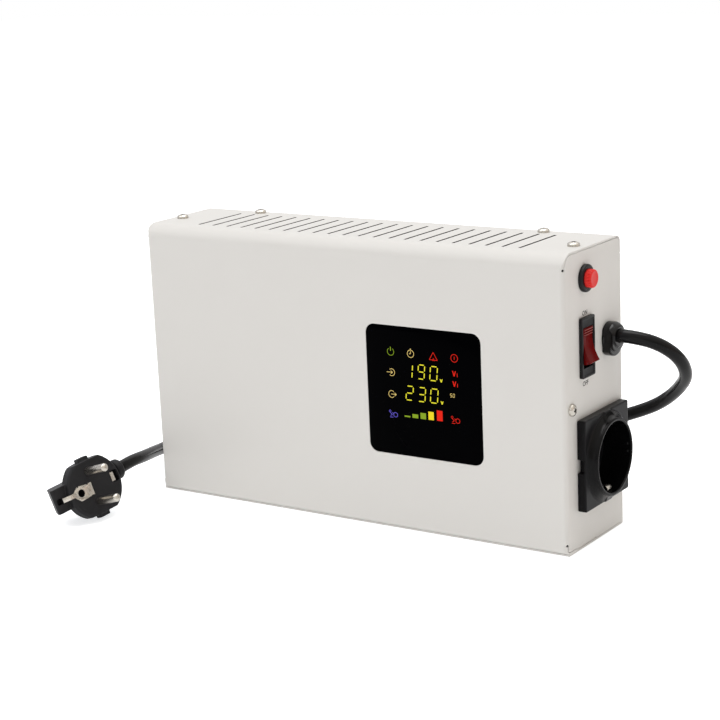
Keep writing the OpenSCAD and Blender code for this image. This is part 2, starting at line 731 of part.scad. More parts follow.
module transformer_clamps() color("#8a8d91") difference() {
  union() {
    for (y = [core_front - clamp_t, core_back]) {
      block([core_x - core_w / 2, core_x + core_w / 2], [y, y + clamp_t], [sheet_t, core_z + clamp_h]);
      block([core_x - core_w / 2, core_x + core_w / 2], [y, y + clamp_t],
        [core_z + core_h - clamp_h, core_z + core_h]);
    }
    block([core_x - core_w / 2, core_x + core_w / 2], [core_front - clamp_t, core_front + core_stack / 3],
      [sheet_t, core_z]);
    block([core_x - core_w / 2, core_x + core_w / 2], [core_back - core_stack / 3, core_back + clamp_t],
      [sheet_t, core_z]);
  }
  core_corners() rod_y(bolt_r, 0, [core_front - clamp_t - overrun, core_back + clamp_t + overrun], 0);
  transformer_screw_places() cylinder(r = bolt_r, h = core_z + overrun);
}
module transformer_screw_places() {
  for (i = [-1, 1], k = [-1, 1])
    translate([core_x + i * (core_w / 2 - core_leg), core_y + k * core_stack / 3, 0]) children();
}
module transformer_screws() color("#b9b9b4") transformer_screw_places() flush_screw(bolt_r, core_z);
module clamp_bolts() color("#b9b9b4") core_corners() {
  translate([0, core_front - clamp_t, 0]) rotate([90, 0, 0])
    cylinder(r = 2 * bolt_r, h = 1.4 * bolt_r, $fn = 6);
  rod_y(bolt_r, 0, [core_front - clamp_t - bolt_r, core_back + clamp_t + 2 * bolt_r], 0);
}
module clamp_nuts() color("#b9b9b4") core_corners()
  translate([0, core_back + clamp_t, 0]) rotate([-90, 0, 0]) hex_nut(bolt_r, 1.6 * bolt_r);

// Control board

control_mid = [control_x + control_w / 2, control_z + control_h / 2];
module control_corners() {
  on_corners(control_mid, [control_w / 2 - board_edge, control_h / 2 - board_edge]) children();
}
module control_board() color("#22613c") difference() {
  along_y([control_front, control_back]) rounded_at(control_mid, [control_w, control_h], board_t);
  control_corners() rod_y(screw_r, 0, [control_front - overrun, control_back + overrun], 0);
}
module board_standoffs() color("#d8c27a") control_corners() difference() {
  rod_y(2 * screw_r, 0, [control_back, back_face], 0);
  rod_y(screw_r, 0, [control_back - overrun, back_face + overrun], 0);
}
module board_screws() color("#b9b9b4") control_corners() {
  rod_y(2 * screw_r, 0, [control_front - screw_head_h, control_front], 0);
  rod_y(screw_r, 0, [control_front - screw_head_h / 2, back_in], 0);
}
module relays() color("#2a5fa8") for (i = [0:relay_count - 1])
  translate([control_mid[0] + (i - (relay_count - 1) / 2) * relay_pitch - relay_w / 2,
    control_front - relay_h, control_z + control_h - 2 * relay_l]) cube([relay_w, relay_h, relay_l]);
terminal_pitch = 8;
terminal_ways = floor((control_w - 9 * board_edge) / terminal_pitch);
terminal_size = [terminal_ways * terminal_pitch, 1.5 * terminal_pitch, 1.25 * terminal_pitch];
module terminal_block() color("#2b2b2b") difference() {
  translate([control_mid[0] - terminal_size[0] / 2, control_front - terminal_size[1],
      control_z + 2 * board_edge])
    cube(terminal_size);
  for (i = [0:terminal_ways - 1])
    rod_y(terminal_pitch / 4, control_mid[0] + (i - (terminal_ways - 1) / 2) * terminal_pitch,
      [control_front - terminal_size[1] - overrun, control_front - terminal_size[1] / 2],
      control_z + 2 * board_edge + terminal_size[2] / 2);
}
capacitor_r = 5;
capacitor_h = 16;
capacitor_pitch = 12;
module capacitors() color("#262a38") for (i = [0:2])
  rod_y(capacitor_r, control_x + 2 * board_edge + capacitor_r, [control_front - capacitor_h, control_front],
    control_mid[1] - i * capacitor_pitch);
sense_size = [28, 22, 24];
module sense_transformer() color("#d9b13a")
  translate([control_x + control_w - sense_size[0] - 2 * board_edge, control_front - sense_size[1],
    control_mid[1] - sense_size[2]]) cube(sense_size);
chip_size = [22, 3, 9];
module controller_chip() color("#202124")
  translate([control_mid[0] - chip_size[0] / 2, control_front - chip_size[1], control_mid[1] + chip_size[2]])
    cube(chip_size);

// Outlet

module at_outlet() {
  translate([0, outlet_y, outlet_z]) children();
}
module turned_about_x() { // a profile drawn as radius and place along X
  rotate([90, 0, 90]) rotate_extrude() children();
}
clip_housing_w = 9;
latch_h = 7.4;
latch_depth = 2.2;
plate_skin = 1.2; // what the side notches leave of the plate in front
module outlet_frame() color("#1c1c1e") at_outlet() difference() {
  union() {
    along_x([half_w, plate_face]) rounded_at([0, 0], [plate_size, plate_size], latch_depth / 2);
    turned_about_x() {
      translate([0, half_w - recess_depth + collar_h / 2]) square([tube_r, recess_depth]);
      translate([0, plate_face]) square([tube_r, collar_h]);
      translate([0, plate_face]) difference() {
        square([tube_r + collar_flare, collar_h / 2]);
        translate([tube_r + collar_h / 2, collar_h / 2]) circle(collar_h / 2);
      }
    }
    for (side = [-1, 1]) {
      block([half_w, plate_face + collar_h / 3], [-clip_housing_w / 2, clip_housing_w / 2],
        side > 0 ? [recess_r, plate_size / 2] : [-plate_size / 2, -recess_r]);
      block([inner_x - 2 * latch_depth, inner_x], [-latch_h / 2, latch_h / 2],
        side > 0 ? [recess_r, tube_r + latch_depth] : [-tube_r - latch_depth, -recess_r]);
    }
  }
  rod_x(recess_r, [half_w - 2 * recess_depth, rim_x + overrun], 0, 0);
  for (side = [-1, 1])
    block([half_w - overrun, plate_face - plate_skin],
      side > 0 ? [plate_size / 2 - latch_depth, plate_size] : [-plate_size, -plate_size / 2 + latch_depth],
      [-latch_h / 2, latch_h / 2]);
}
contact_wall = 0.8;
contact_r = pin_hole_r + contact_wall;
contact_front = recess_floor - insert_depth / 4;
module pin_places() {
  for (side = [-1, 1]) translate([0, side * pin_spacing / 2, 0]) children();
}
module outlet_insert() color("#202022") at_outlet() difference() {
  rod_x(recess_r, [insert_back, recess_floor], 0, 0);
  pin_places() {
    rod_x(pin_hole_r, [insert_back - overrun, recess_floor + overrun], 0, 0);
    rod_x(contact_r, [insert_back - overrun, contact_front], 0, 0);
  }
  for (side = [0, 1]) mirror([0, 0, side])
    block([insert_back - overrun, recess_floor + overrun], [-clip_w / 2, clip_w / 2],
      [clip_z, clip_z + clip_t]);
}
module outlet_contacts() color("#c9a44c") at_outlet() pin_places() difference() {
  rod_x(contact_r, [insert_back, contact_front], 0, 0);
  rod_x(contact_r - contact_wall, [insert_back - overrun, contact_front + overrun], 0, 0);
}
module outlet_earth_clips() color("#c8c9cb") at_outlet() for (side = [0, 1]) mirror([0, 0, side])
  rotate([90, 0, 0]) translate([0, 0, -clip_w / 2]) linear_extrude(clip_w) polygon([
    [insert_back, clip_z], [recess_floor + recess_depth / 3, clip_z],
    [clip_bump - clip_t, clip_z - 2 * clip_t], [clip_bump, clip_z - 2 * clip_t],
    [clip_bump + 2 * clip_t, clip_z], [clip_bump + 2 * clip_t, clip_z + clip_t],
    [insert_back, clip_z + clip_t]]);
cap_len = 8;
module outlet_cap() color("#2a2a2c") at_outlet() difference() {
  rod_x(recess_r, [insert_back - cap_len, insert_back], 0, 0);
  pin_places()
    rod_x(contact_r - contact_wall, [insert_back - cap_len - overrun, insert_back + overrun], 0, 0);
}

// Breaker

breaker_size = [30, 14, 24];
stem_r = 1.5;
stem_gap = 0.05;
breaker_low = 3; // how much lower the body's middle lies than the bush
module at_breaker() {
  translate([0, -control_line, breaker_z]) children();
}
bush_r = button_r + button_gap + bush_wall;
nut_r = bush_r + nut_wall;
bush_out = half_w + nut_t;
button_in = half_w + button_travel / 4; // inner end of the button's barrel
module breaker_body() color("#27272a") at_breaker() difference() {
  union() {
    block([inner_x - breaker_size[0], inner_x], [-breaker_size[1] / 2, breaker_size[1] / 2],
      [-breaker_size[2] / 2 - breaker_low, breaker_size[2] / 2 - breaker_low]);
    rod_x(bush_r, [inner_x - stem_r, bush_out], 0, 0);
  }
  rod_x(button_r + button_gap, [button_in - button_gap - stem_r, bush_out + overrun], 0, 0);
  rod_x(stem_r + stem_gap, [inner_x - breaker_size[0] / 2, half_w], 0, 0);
}
module breaker_nut() color("#1b1b1d") at_breaker() difference() {
  rod_x(nut_r, [half_w, half_w + nut_t], 0, 0);
  rod_x(bush_r, [half_w - overrun, half_w + nut_t + overrun], 0, 0);
}
rib_count = 20;
button_end = half_w + nut_t + button_out;
module reset_button() color("#d02b26") at_breaker() {
  difference() {
    rod_x(button_r, [button_in, button_end], 0, 0);
    for (i = [0:rib_count - 1]) rotate([360 * i / rib_count, 0, 0])
      block([bush_out + button_out / 4, button_end + overrun], [-button_r / rib_count, button_r / rib_count],
        [button_r - button_r / rib_count, button_r + overrun]);
  }
  rod_x(stem_r, [inner_x - breaker_size[0] / 3, button_in + stem_r], 0, 0);
}
blade_t = 0.8;
blade_w = 6.3;
blade_len = 8;
module blade() { // a tab terminal that points to -X from the origin
  block([-blade_len, 0], [-blade_w / 2, blade_w / 2], [-blade_t / 2, blade_t / 2]);
}
module breaker_terminals() color("#c9cacc") at_breaker() for (side = [-1, 1])
  translate([inner_x - breaker_size[0], 0, side * breaker_size[2] / 3 - breaker_low]) blade();

// Switch

bezel_face = half_w + bezel_t;
pivot_x = bezel_face - pivot_depth;
pivot_z = bezel_z - pivot_low;
switch_depth = 20;
rocker_tip = [pivot_depth + rocker_half * sin(rocker_throw), rocker_half * cos(rocker_throw)];
rocker_reach = norm(rocker_tip);
switch_w = rocker_w + 2 * (rocker_gap + switch_wall);
switch_h = 2 * (rocker_reach + rocker_gap + pivot_low + switch_wall);
bezel_w = switch_w + 2 * bezel_side;
bezel_h = switch_h + 2 * bezel_end;
module at_pivot() {
  translate([pivot_x, -control_line, pivot_z]) children();
}
module switch_body() color("#1d1d1f") difference() {
  union() {
    along_x([half_w, bezel_face]) rounded_at([-control_line, bezel_z], [bezel_w, bezel_h], 1.2 * rocker_gap);
    along_x([half_w - switch_depth, half_w])
      rounded_at([-control_line, bezel_z], [switch_w, switch_h], rocker_gap / 4);
  }
  at_pivot() {
    translate([0, rocker_w / 2 + rocker_gap, 0]) rotate([90, 0, 0])
      cylinder(r = rocker_reach + rocker_gap, h = rocker_w + 2 * rocker_gap);
    rod_y(pivot_r + pivot_gap, 0, [-switch_w, switch_w], 0);
  }
}
pin_out = switch_wall / 2; // how far a pivot pin enters the body's wall
// Side view of the rocker round its pivot, in the middle of its travel
module rocker_side() {
  reach = rocker_tip[1];
  intersection() {
    circle(rocker_reach);
    polygon([[pivot_depth, 0], rocker_tip, [-pivot_depth / 2, reach], [-pivot_depth, rocker_half / 2],
      [-pivot_depth, -rocker_half / 2], [-pivot_depth / 2, -reach], [rocker_tip[0], -reach]]);
  }
}
module power_rocker() color("#6e1414") at_pivot() rotate([0, -rocker_throw, 0]) {
  rotate([90, 0, 0]) translate([0, 0, -rocker_w / 2]) linear_extrude(rocker_w) rocker_side();
  rotate([90, 0, 0]) translate([0, 0, -rocker_w / 2 - rocker_gap - pin_out])
    cylinder(r = pivot_r, h = rocker_w + 2 * (rocker_gap + pin_out));
}
module switch_terminals() color("#c9cacc")
  for (side = [-1, 0, 1]) translate([half_w - switch_depth, -control_line, bezel_z + side * switch_h / 3])
    blade();

// Gland

gland_in = 13;
gland_tip_r = 0.75 * gland_head_r;
module at_gland() {
  translate([0, gland_y, gland_z]) children();
}
module cord_gland() color("#19191b") at_gland() difference() {
  union() {
    intersection() {
      translate([half_w, 0, 0]) rotate([0, 90, 0]) {
        cylinder(r = gland_head_r, h = 0.6 * gland_out);
        cylinder(r1 = gland_head_r, r2 = gland_tip_r, h = gland_out);
      }
      block([half_w, half_w + gland_out], [-gland_flat, gland_flat], [-gland_head_r, gland_head_r]);
    }
    rod_x(gland_r, [inner_x - gland_in, half_w], 0, 0);
    rod_x(gland_r + 2 * seam_gap, [inner_x - gland_in / 2, inner_x], 0, 0);
  }
  rod_x(cord_r, [inner_x - gland_in - overrun, half_w + gland_out + overrun], 0, cord_lift);
}
tail_in = 10;
module cord_tail() color("#161618") at_gland()
  rod_x(cord_r, [inner_x - gland_in - tail_in, half_w + gland_out], 0, cord_lift);

// Earth stud in the floor

earth_x = half_w - 2 * keyhole_side / 3;
earth_y = -12;
earth_len = 12;
module earth_stud() color("#c9b36a") {
  rod_z(bolt_r + bolt_r / 2, earth_x, earth_y, [0, sheet_t]);
  rod_z(bolt_r, earth_x, earth_y, [0, earth_len]);
}
module earth_nut() color("#c9b36a") translate([earth_x, earth_y, sheet_t]) hex_nut(bolt_r, 1.6 * bolt_r);

// Cord

module cord_from_gland() color("#151516")
  tube(led(gland_route, gland_exit, coil_start), cord_r, 10, first = [1, 0, 0],
    last = [-sin(coil_start_angle), cos(coil_start_angle), 0]);
module cord_coil() color("#151516") tube(coil_path, cord_r, 6,
  first = [-sin(coil_start_angle), cos(coil_start_angle), 0],
  last = [-sin(coil_end_angle), cos(coil_end_angle), 0]);
module cord_to_plug() color("#151516")
  tube(led(plug_route, coil_end, sleeve_end), cord_r, 10,
    first = [-sin(coil_end_angle), cos(coil_end_angle), 0], last = -turned([0, 1, 0], plug_turn));

// Plug: in its own frame the pins point to +X, the cord leaves to +Y and the face is at X = 0

module at_plug() {
  translate(plug_at) rotate(plug_turn) children();
}
plug_rim = 7; // depth of the full round rim
plug_bevel = 0.8;
groove_w = 7;
groove_y = 13.4; // distance of the side grooves' floors from the face's centre
contact_t = 0.8;
contact_w = 5.4;
lug_w = 8;
lug_out = 0.6;
lug_depth = 5.5;
lug_side = 1; // how far the lugs are moved towards the cord
block_set = 4; // how far the block stays behind the face
earth_plate_w = 8;
earth_plate_end = 14.5; // reach of the plate from the face's centre
earth_strip_w = 2.8;
pocket_w = 3.6;
pocket_depth = 2;
sleeve_r = 1.7 * cord_r;
sleeve_ring = 4; // length of the ring at the sleeve's end
sleeve_groove = 2;
module plug_body() color("#222225") at_plug() difference() {
  union() {
    intersection() {
      turned_about_x() polygon([[0, -plug_depth], [plug_back_r, -plug_depth],
        [plug_r - plug_bevel, -plug_rim - plug_bevel], [plug_r, -plug_rim], [plug_r, -plug_rim / 2],
        [plug_r - plug_bevel, -plug_bevel / 2], [plug_r - 2 * plug_bevel, 0], [0, 0]]);
      block([-plug_depth, 0], [-plug_r, plug_r], [-plug_flat, plug_flat]);
    }
    block([-plug_depth + plug_bevel, -block_set], [-plug_block_out, 0],
      [-plug_block_w / 2, plug_block_w / 2]);
    block([-lug_depth, -plug_bevel], [lug_side - lug_w / 2, lug_side + lug_w / 2],
      [-plug_r - lug_out, plug_r + lug_out]);
    translate([-plug_cord_depth, 0, plug_cord_up]) rotate([-90, 0, 0]) {
      cylinder(r = sleeve_r, h = plug_sleeve - sleeve_ring - sleeve_groove);
      cylinder(r = 0.8 * sleeve_r, h = plug_sleeve);
      translate([0, 0, plug_sleeve - sleeve_ring]) cylinder(r = 0.95 * sleeve_r, h = 0.6 * sleeve_ring);
    }
  }
  block([-plug_rim, overrun], [groove_y, plug_r + overrun], [-groove_w / 2, groove_w / 2]);
  block([-contact_t, overrun], [-earth_plate_end, 0], [-earth_plate_w / 2, earth_plate_w / 2]);
  block([-contact_t, overrun], [-plug_r - overrun, -earth_plate_end + contact_t],
    [-earth_strip_w / 2, earth_strip_w / 2]);
  block([-block_set - pocket_depth, overrun], [-plug_block_out + contact_t, -plug_r - 2 * contact_t],
    [-pocket_w / 2, pocket_w / 2]);
  rod_x(pin_hole_r, [-plug_depth / 2, overrun], -earth_hole, 0);
  for (side = [-1, 1]) rod_x(pin_r, [-plug_rim, overrun], 0, side * pin_spacing / 2);
}
tip_r = pin_r / 2;
module plug_pins() color("#c6bfae") at_plug() for (side = [-1, 1]) translate([0, 0, side * pin_spacing / 2])
  turned_about_x() {
    translate([0, -plug_rim]) square([pin_r, plug_rim + pin_len - tip_r]);
    square([pin_r - tip_r, pin_len]);
    translate([pin_r - tip_r, pin_len - tip_r]) circle(tip_r);
  }
module plug_earth_contacts() color("#bdb7a8") at_plug() {
  difference() {
    union() {
      block([-contact_t, 0], [-earth_plate_end, 0], [-earth_plate_w / 2, earth_plate_w / 2]);
      block([-contact_t, 0], [-plug_r + plug_bevel, -earth_plate_end + contact_t],
        [-earth_strip_w / 2, earth_strip_w / 2]);
    }
    rod_x(pin_hole_r, [-plug_depth, overrun], -earth_hole, 0);
  }
  earth_strip_end();
  block([-plug_rim, -plug_bevel], [groove_y, groove_y + contact_t], [-contact_w / 2, contact_w / 2]);
  block([-plug_bevel - contact_t, -plug_bevel], [groove_y, groove_y + 3 * contact_t],
    [-contact_w / 2, contact_w / 2]);
}
// The strip's sloping end, from the face's edge down to the block
module earth_strip_end() {
  translate([0, 0, -earth_strip_w / 2]) linear_extrude(earth_strip_w) polygon([[0, -plug_r + plug_bevel],
    [0, -plug_r - contact_t / 2], [-block_set, -plug_r - 5 * contact_t],
    [-block_set - contact_t, -plug_r - 5 * contact_t], [-block_set, -plug_r - 2.5 * contact_t],
    [-contact_t, -plug_r], [-contact_t, -plug_r + plug_bevel]]);
}

housing_cover();
chassis();
display_window();
display_module();
display_board();
display_spacers();
display_screws();
display_nuts();
display_carrier();
transformer_core();
transformer_bobbin();
transformer_winding();
transformer_clamps();
clamp_bolts();
clamp_nuts();
transformer_screws();
control_board();
relays();
terminal_block();
capacitors();
sense_transformer();
controller_chip();
board_standoffs();
board_screws();
outlet_frame();
outlet_insert();
outlet_contacts();
outlet_earth_clips();
outlet_cap();
breaker_body();
breaker_nut();
reset_button();
breaker_terminals();
switch_body();
power_rocker();
switch_terminals();
cord_gland();
cord_tail();
earth_stud();
earth_nut();
top_screws();
side_screws();
floor_screws();
cord_from_gland();
cord_coil();
cord_to_plug();
plug_body();
plug_pins();
plug_earth_contacts();
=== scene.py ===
"""A slim relay voltage stabilizer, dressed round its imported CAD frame.

Sizes in the mesh code are millimetres and become metres as each mesh is made. The front of the
case faces -Y, and the outlet, breaker, switch and cord are on the +X wall.
"""

import json
from math import cos, hypot, pi, radians, sin, sqrt

import bmesh
import bpy
from mathutils import Matrix, Vector


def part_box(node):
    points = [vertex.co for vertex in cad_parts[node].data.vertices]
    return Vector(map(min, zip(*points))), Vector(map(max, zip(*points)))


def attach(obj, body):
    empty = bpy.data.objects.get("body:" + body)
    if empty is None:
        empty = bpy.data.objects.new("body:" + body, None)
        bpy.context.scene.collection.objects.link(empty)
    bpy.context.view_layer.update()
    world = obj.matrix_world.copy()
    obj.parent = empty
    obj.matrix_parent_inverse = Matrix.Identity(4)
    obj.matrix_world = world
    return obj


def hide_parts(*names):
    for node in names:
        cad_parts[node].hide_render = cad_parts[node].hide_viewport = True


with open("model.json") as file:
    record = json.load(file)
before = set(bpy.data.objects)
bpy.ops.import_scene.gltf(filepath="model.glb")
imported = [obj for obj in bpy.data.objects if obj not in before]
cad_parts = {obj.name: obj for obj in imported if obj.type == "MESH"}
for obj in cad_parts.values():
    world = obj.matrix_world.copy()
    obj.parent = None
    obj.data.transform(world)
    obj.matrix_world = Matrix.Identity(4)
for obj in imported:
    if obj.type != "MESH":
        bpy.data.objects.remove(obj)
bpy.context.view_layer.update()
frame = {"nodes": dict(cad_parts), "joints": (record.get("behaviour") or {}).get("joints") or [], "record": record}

bl_info = {
    "name": "Voltage Stabilizer",
    "version": (1, 0, 0),
    "blender": (4, 5, 0),
    "location": "3D View > Sidebar > Stabilizer",
    "description": "Builds the visible pieces and finishes of a slim voltage stabilizer",
    "category": "Object",
}

MM = 0.001


def linear(hex_colour):
    """An sRGB hex colour as linear red, green and blue."""
    parts = [int(hex_colour[i : i + 2], 16) / 255 for i in (0, 2, 4)]
    return tuple(p / 12.92 if p <= 0.04045 else ((p + 0.055) / 1.055) ** 2.4 for p in parts)


def box_mm(node):
    """Lowest corner, highest corner and middle of a CAD node in millimetres."""
    low, high = (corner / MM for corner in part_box(node))
    return low, high, (low + high) / 2


WALL_X = box_mm("breaker_nut")[0].x
FRONT_Y = box_mm("display_window")[0].y
TOP_Z = box_mm("housing_cover")[1].z


def metres(name, description, default):
    """A size in metres that a user may change."""
    return bpy.props.FloatProperty(
        name=name, description=description, default=default, unit="LENGTH"
    )


def shade(name, description, default):
    """A colour that a user may change, from its hex code."""
    return bpy.props.FloatVectorProperty(
        name=name, description=description, default=linear(default), size=3, subtype="COLOR"
    )


class StabilizerSizes(bpy.types.PropertyGroup):
    """The sizes that a user may change"""

    cord_diameter: metres("Cord", "Diameter of the mains cord", 0.0075)
    coil_radius: metres("Coil", "Radius at the middle of the stored coil's turns", 0.041)
    tie_width: metres("Tie", "Width of the band round the coil", 0.012)
    plug_radius: metres("Plug", "Radius of the plug's face", 0.019)
    pin_radius: metres("Pin", "Radius of a plug pin", 0.0024)
    pin_length: metres("Pin length", "How far a pin stands out of the face", 0.019)
    pin_spacing: metres("Pin spacing", "Distance between the pins", 0.019)
    recess_radius: metres("Outlet recess", "Radius of the outlet's recess", 0.0197)
    collar_height: metres("Outlet collar", "Height of the collar over the plate", 0.0052)
    window_corner: metres("Window corner", "Corner radius of the window", 0.0055)
    window_rim: metres("Window rim", "Width of the rim behind the panel", 0.003)
    segment_width: metres("Segment", "Width of a digit's light bars", 0.0006)
    button_radius: metres("Button", "Radius of the reset button", 0.005)
    button_flutes: bpy.props.IntProperty(
        name="Flutes", description="Number of flutes round the button", default=20
    )
    rocker_throw: bpy.props.FloatProperty(
        name="Rocker throw", description="Angle of the rocker to each side of its middle",
        default=radians(12), subtype="ANGLE",
    )
    gland_radius: metres("Gland", "Radius of the cord gland's head", 0.0097)
    screw_radius: metres("Screw head", "Radius of a pan head", 0.0039)
    screw_height: metres("Screw head height", "Height of a pan head", 0.0024)
    label_height: metres("Label", "Height of the printed capitals", 0.0026)


class StabilizerColours(bpy.types.PropertyGroup):
    """The colours that a user may change"""

    coat: shade("Powder coat", "Colour of the case", "dad8d4")
    outlet: shade("Outlet", "Colour of the outlet", "101012")
    plug: shade("Plug", "Colour of the plug", "222224")
    cord: shade("Cord", "Colour of the cord", "0e0e0f")
    button: shade("Button", "Colour of the reset button", "e5302c")
    rocker: shade("Rocker", "Colour of the rocker", "740a0a")
    ink: shade("Print", "Colour of the printed words", "161514")
    digits: shade("Digits", "Colour of the lit digits", "f2ea3a")
    amber: shade("Amber", "Colour of the amber lights", "e8cc7c")
    green: shade("Green", "Colour of the green lights", "8aa62a")
    yellow: shade("Yellow", "Colour of the yellow bar", "f2da2c")
    red: shade("Red", "Colour of the red lights", "ea281a")
    blue: shade("Blue", "Colour of the blue light", "6e62d8")


def sizes_mm(*names):
    """Some of the user's sizes in millimetres."""
    return [getattr(bpy.context.scene.stabilizer_sizes, name) / MM for name in names]


# Mesh helpers: each shape is a pair of points in millimetres and faces


def turned(profile, steps=96, closed=False, wave=None):
    """A profile of (radius, place) turned round X. wave changes a radius by place and angle."""
    points, rows = [], []
    for radius, place in profile:
        count = 1 if radius < 1e-6 else steps
        rows.append(list(range(len(points), len(points) + count)))
        for k in range(count):
            angle = 2 * pi * k / steps
            r = wave(radius, place, angle) if wave and count > 1 else radius
            points.append((place, r * cos(angle), r * sin(angle)))
    pairs = list(zip(rows, rows[1:])) + ([(rows[-1], rows[0])] if closed else [])
    faces = []
    for a, b in pairs:
        for k in range(steps):
            n = (k + 1) % steps
            ring = [a[k % len(a)], a[n % len(a)], b[n % len(b)], b[k % len(b)]]
            faces.append(list(dict.fromkeys(ring)))
    return points, faces


def prism(outline, low, high, along="X"):
    """An outline made thick along an axis. It is drawn in the other two axes, in their order."""
    axis, n = "XYZ".index(along), len(outline)
    points = [(*spot[:axis], t, *spot[axis:]) for t in (low, high) for spot in outline]
    walls = [[k, (k + 1) % n, n + (k + 1) % n, n + k] for k in range(n)]
    return points, [list(range(n)), list(range(n, 2 * n))] + walls


def rounded(width, height, radius, centre=(0, 0), steps=8):
    """The outline of a rectangle with round corners."""
    out = []
    for i, (sx, sy) in enumerate(((1, 1), (-1, 1), (-1, -1), (1, -1))):
        for k in range(steps + 1):
            angle = pi / 2 * (i + k / steps)
            out.append((
                centre[0] + sx * (width / 2 - radius) + radius * cos(angle),
                centre[1] + sy * (height / 2 - radius) + radius * sin(angle),
            ))
    return out


def slab(x, y, z):
    """A block between three pairs of places, each in any order."""
    x, (y0, y1), (z0, z1) = (sorted(pair) for pair in (x, y, z))
    return prism([(y0, z0), (y1, z0), (y1, z1), (y0, z1)], *x)


def rod(radius, low, high, steps):
    """A round bar along X."""
    return turned([(0, low), (radius, low), (radius, high), (0, high)], steps)


def shift(x=0, y=0, z=0):
    return Matrix.Translation((x, y, z))


def spin(degrees, axis):
    return Matrix.Rotation(radians(degrees), 4, axis)


def in_metres(at):
    """The matrix for a mesh in metres that does what this one does in millimetres."""
    return Matrix.Translation(at.to_translation() * MM) @ at.to_3x3().to_4x4()


def moved(shape, at):
    """A shape moved by a matrix in millimetres."""
    return [tuple(at @ Vector(p)) for p in shape[0]], shape[1]


def joined(*shapes):
    """Several shapes as one."""
    points, faces = [], []
    for p, f in shapes:
        faces += [[i + len(points) for i in face] for face in f]
        points += list(p)
    return points, faces


def placed(name, data):
    """A new object in the scene."""
    made = bpy.data.objects.new(name, data)
    bpy.context.scene.collection.objects.link(made)
    return made


def new_piece(name, shape, at=Matrix.Identity(4)):
    """A mesh object from a shape in millimetres, placed by a matrix in millimetres."""
    mesh = bpy.data.meshes.new(name)
    mesh.from_pydata([(at @ Vector(p)) * MM for p in shape[0]], [], shape[1])
    work = bmesh.new()
    work.from_mesh(mesh)
    bmesh.ops.recalc_face_normals(work, faces=work.faces)
    work.to_mesh(mesh)
    work.free()
    return placed(name, mesh)


def bake(piece):
    """Puts a piece's modifiers into its mesh."""
    depsgraph = bpy.context.evaluated_depsgraph_get()
    mesh = bpy.data.meshes.new_from_object(piece.evaluated_get(depsgraph))
    piece.modifiers.clear()
    piece.data = mesh
    if not mesh.vertices:
        raise RuntimeError(f"{piece.name} has no mesh left")


def carve(piece, adds=(), cuts=()):
    """Joins shapes to a piece, cuts others out of it, and puts the result into its mesh."""
    tools = [(new_piece("tool", s), "UNION") for s in adds]
    tools += [(new_piece("tool", s), "DIFFERENCE") for s in cuts]
    for tool, way in tools:
        step = piece.modifiers.new("carve", "BOOLEAN")
        step.object, step.operation, step.solver = tool, way, "EXACT"
    bake(piece)
    for tool, way in tools:
        bpy.data.objects.remove(tool)


def soften(piece, voxel, rounds):
    """Turns a carved piece into one skin whose edges are as round as a mould leaves them."""
    skin = piece.modifiers.new("skin", "REMESH")
    skin.mode, skin.voxel_size = "VOXEL", voxel * MM
    ease = piece.modifiers.new("ease", "SMOOTH")
    ease.factor, ease.iterations = 0.5, rounds
    bake(piece)
    piece.data.shade_smooth()


def bevelled(piece, width, segments=3, angle=30):
    """Rounds a piece's sharp edges and shades the rest smooth."""
    edge = piece.modifiers.new("edge", "BEVEL")
    edge.width, edge.segments = width * MM, segments
    edge.limit_method, edge.angle_limit = "ANGLE", radians(angle)
    bake(piece)
    smooth_by_angle(piece, angle)


def smooth_by_angle(piece, angle=35):
    piece.data.shade_smooth()
    piece.data.set_sharp_from_angle(angle=radians(angle))


# Materials


def add_node(tree, kind, inputs=None, **settings):
    """Adds a shader node with its settings. An input is a value, or a socket to link from."""
    node = tree.nodes.new("ShaderNode" + kind)
    for name, value in settings.items():
        setattr(node, name, value)
    for name, value in (inputs or {}).items():
        if isinstance(value, bpy.types.NodeSocket):
            tree.links.new(value, node.inputs[name])
        else:
            node.inputs[name].default_value = value
    return node


def per_mm(size):
    """The scale of a texture in metres whose features are this many millimetres apart."""
    return 1000 / size


def mix(tree, factor, a, b):
    """A colour between two others."""
    return add_node(
        tree, "Mix", {"Factor": factor, "A": a, "B": b}, data_type="RGBA"
    ).outputs["Result"]


def ramp(tree, value, low, high, start=0.0, end=1.0):
    """A number that goes from low to high while the value goes from start to end."""
    return add_node(
        tree, "MapRange",
        {"Value": value, "From Min": start, "From Max": end, "To Min": low, "To Max": high},
    ).outputs[0]


def emptied(owner):
    """The node tree of a new material or world, without the nodes it comes with."""
    owner.use_nodes = True
    owner.node_tree.nodes.clear()
    return owner.node_tree


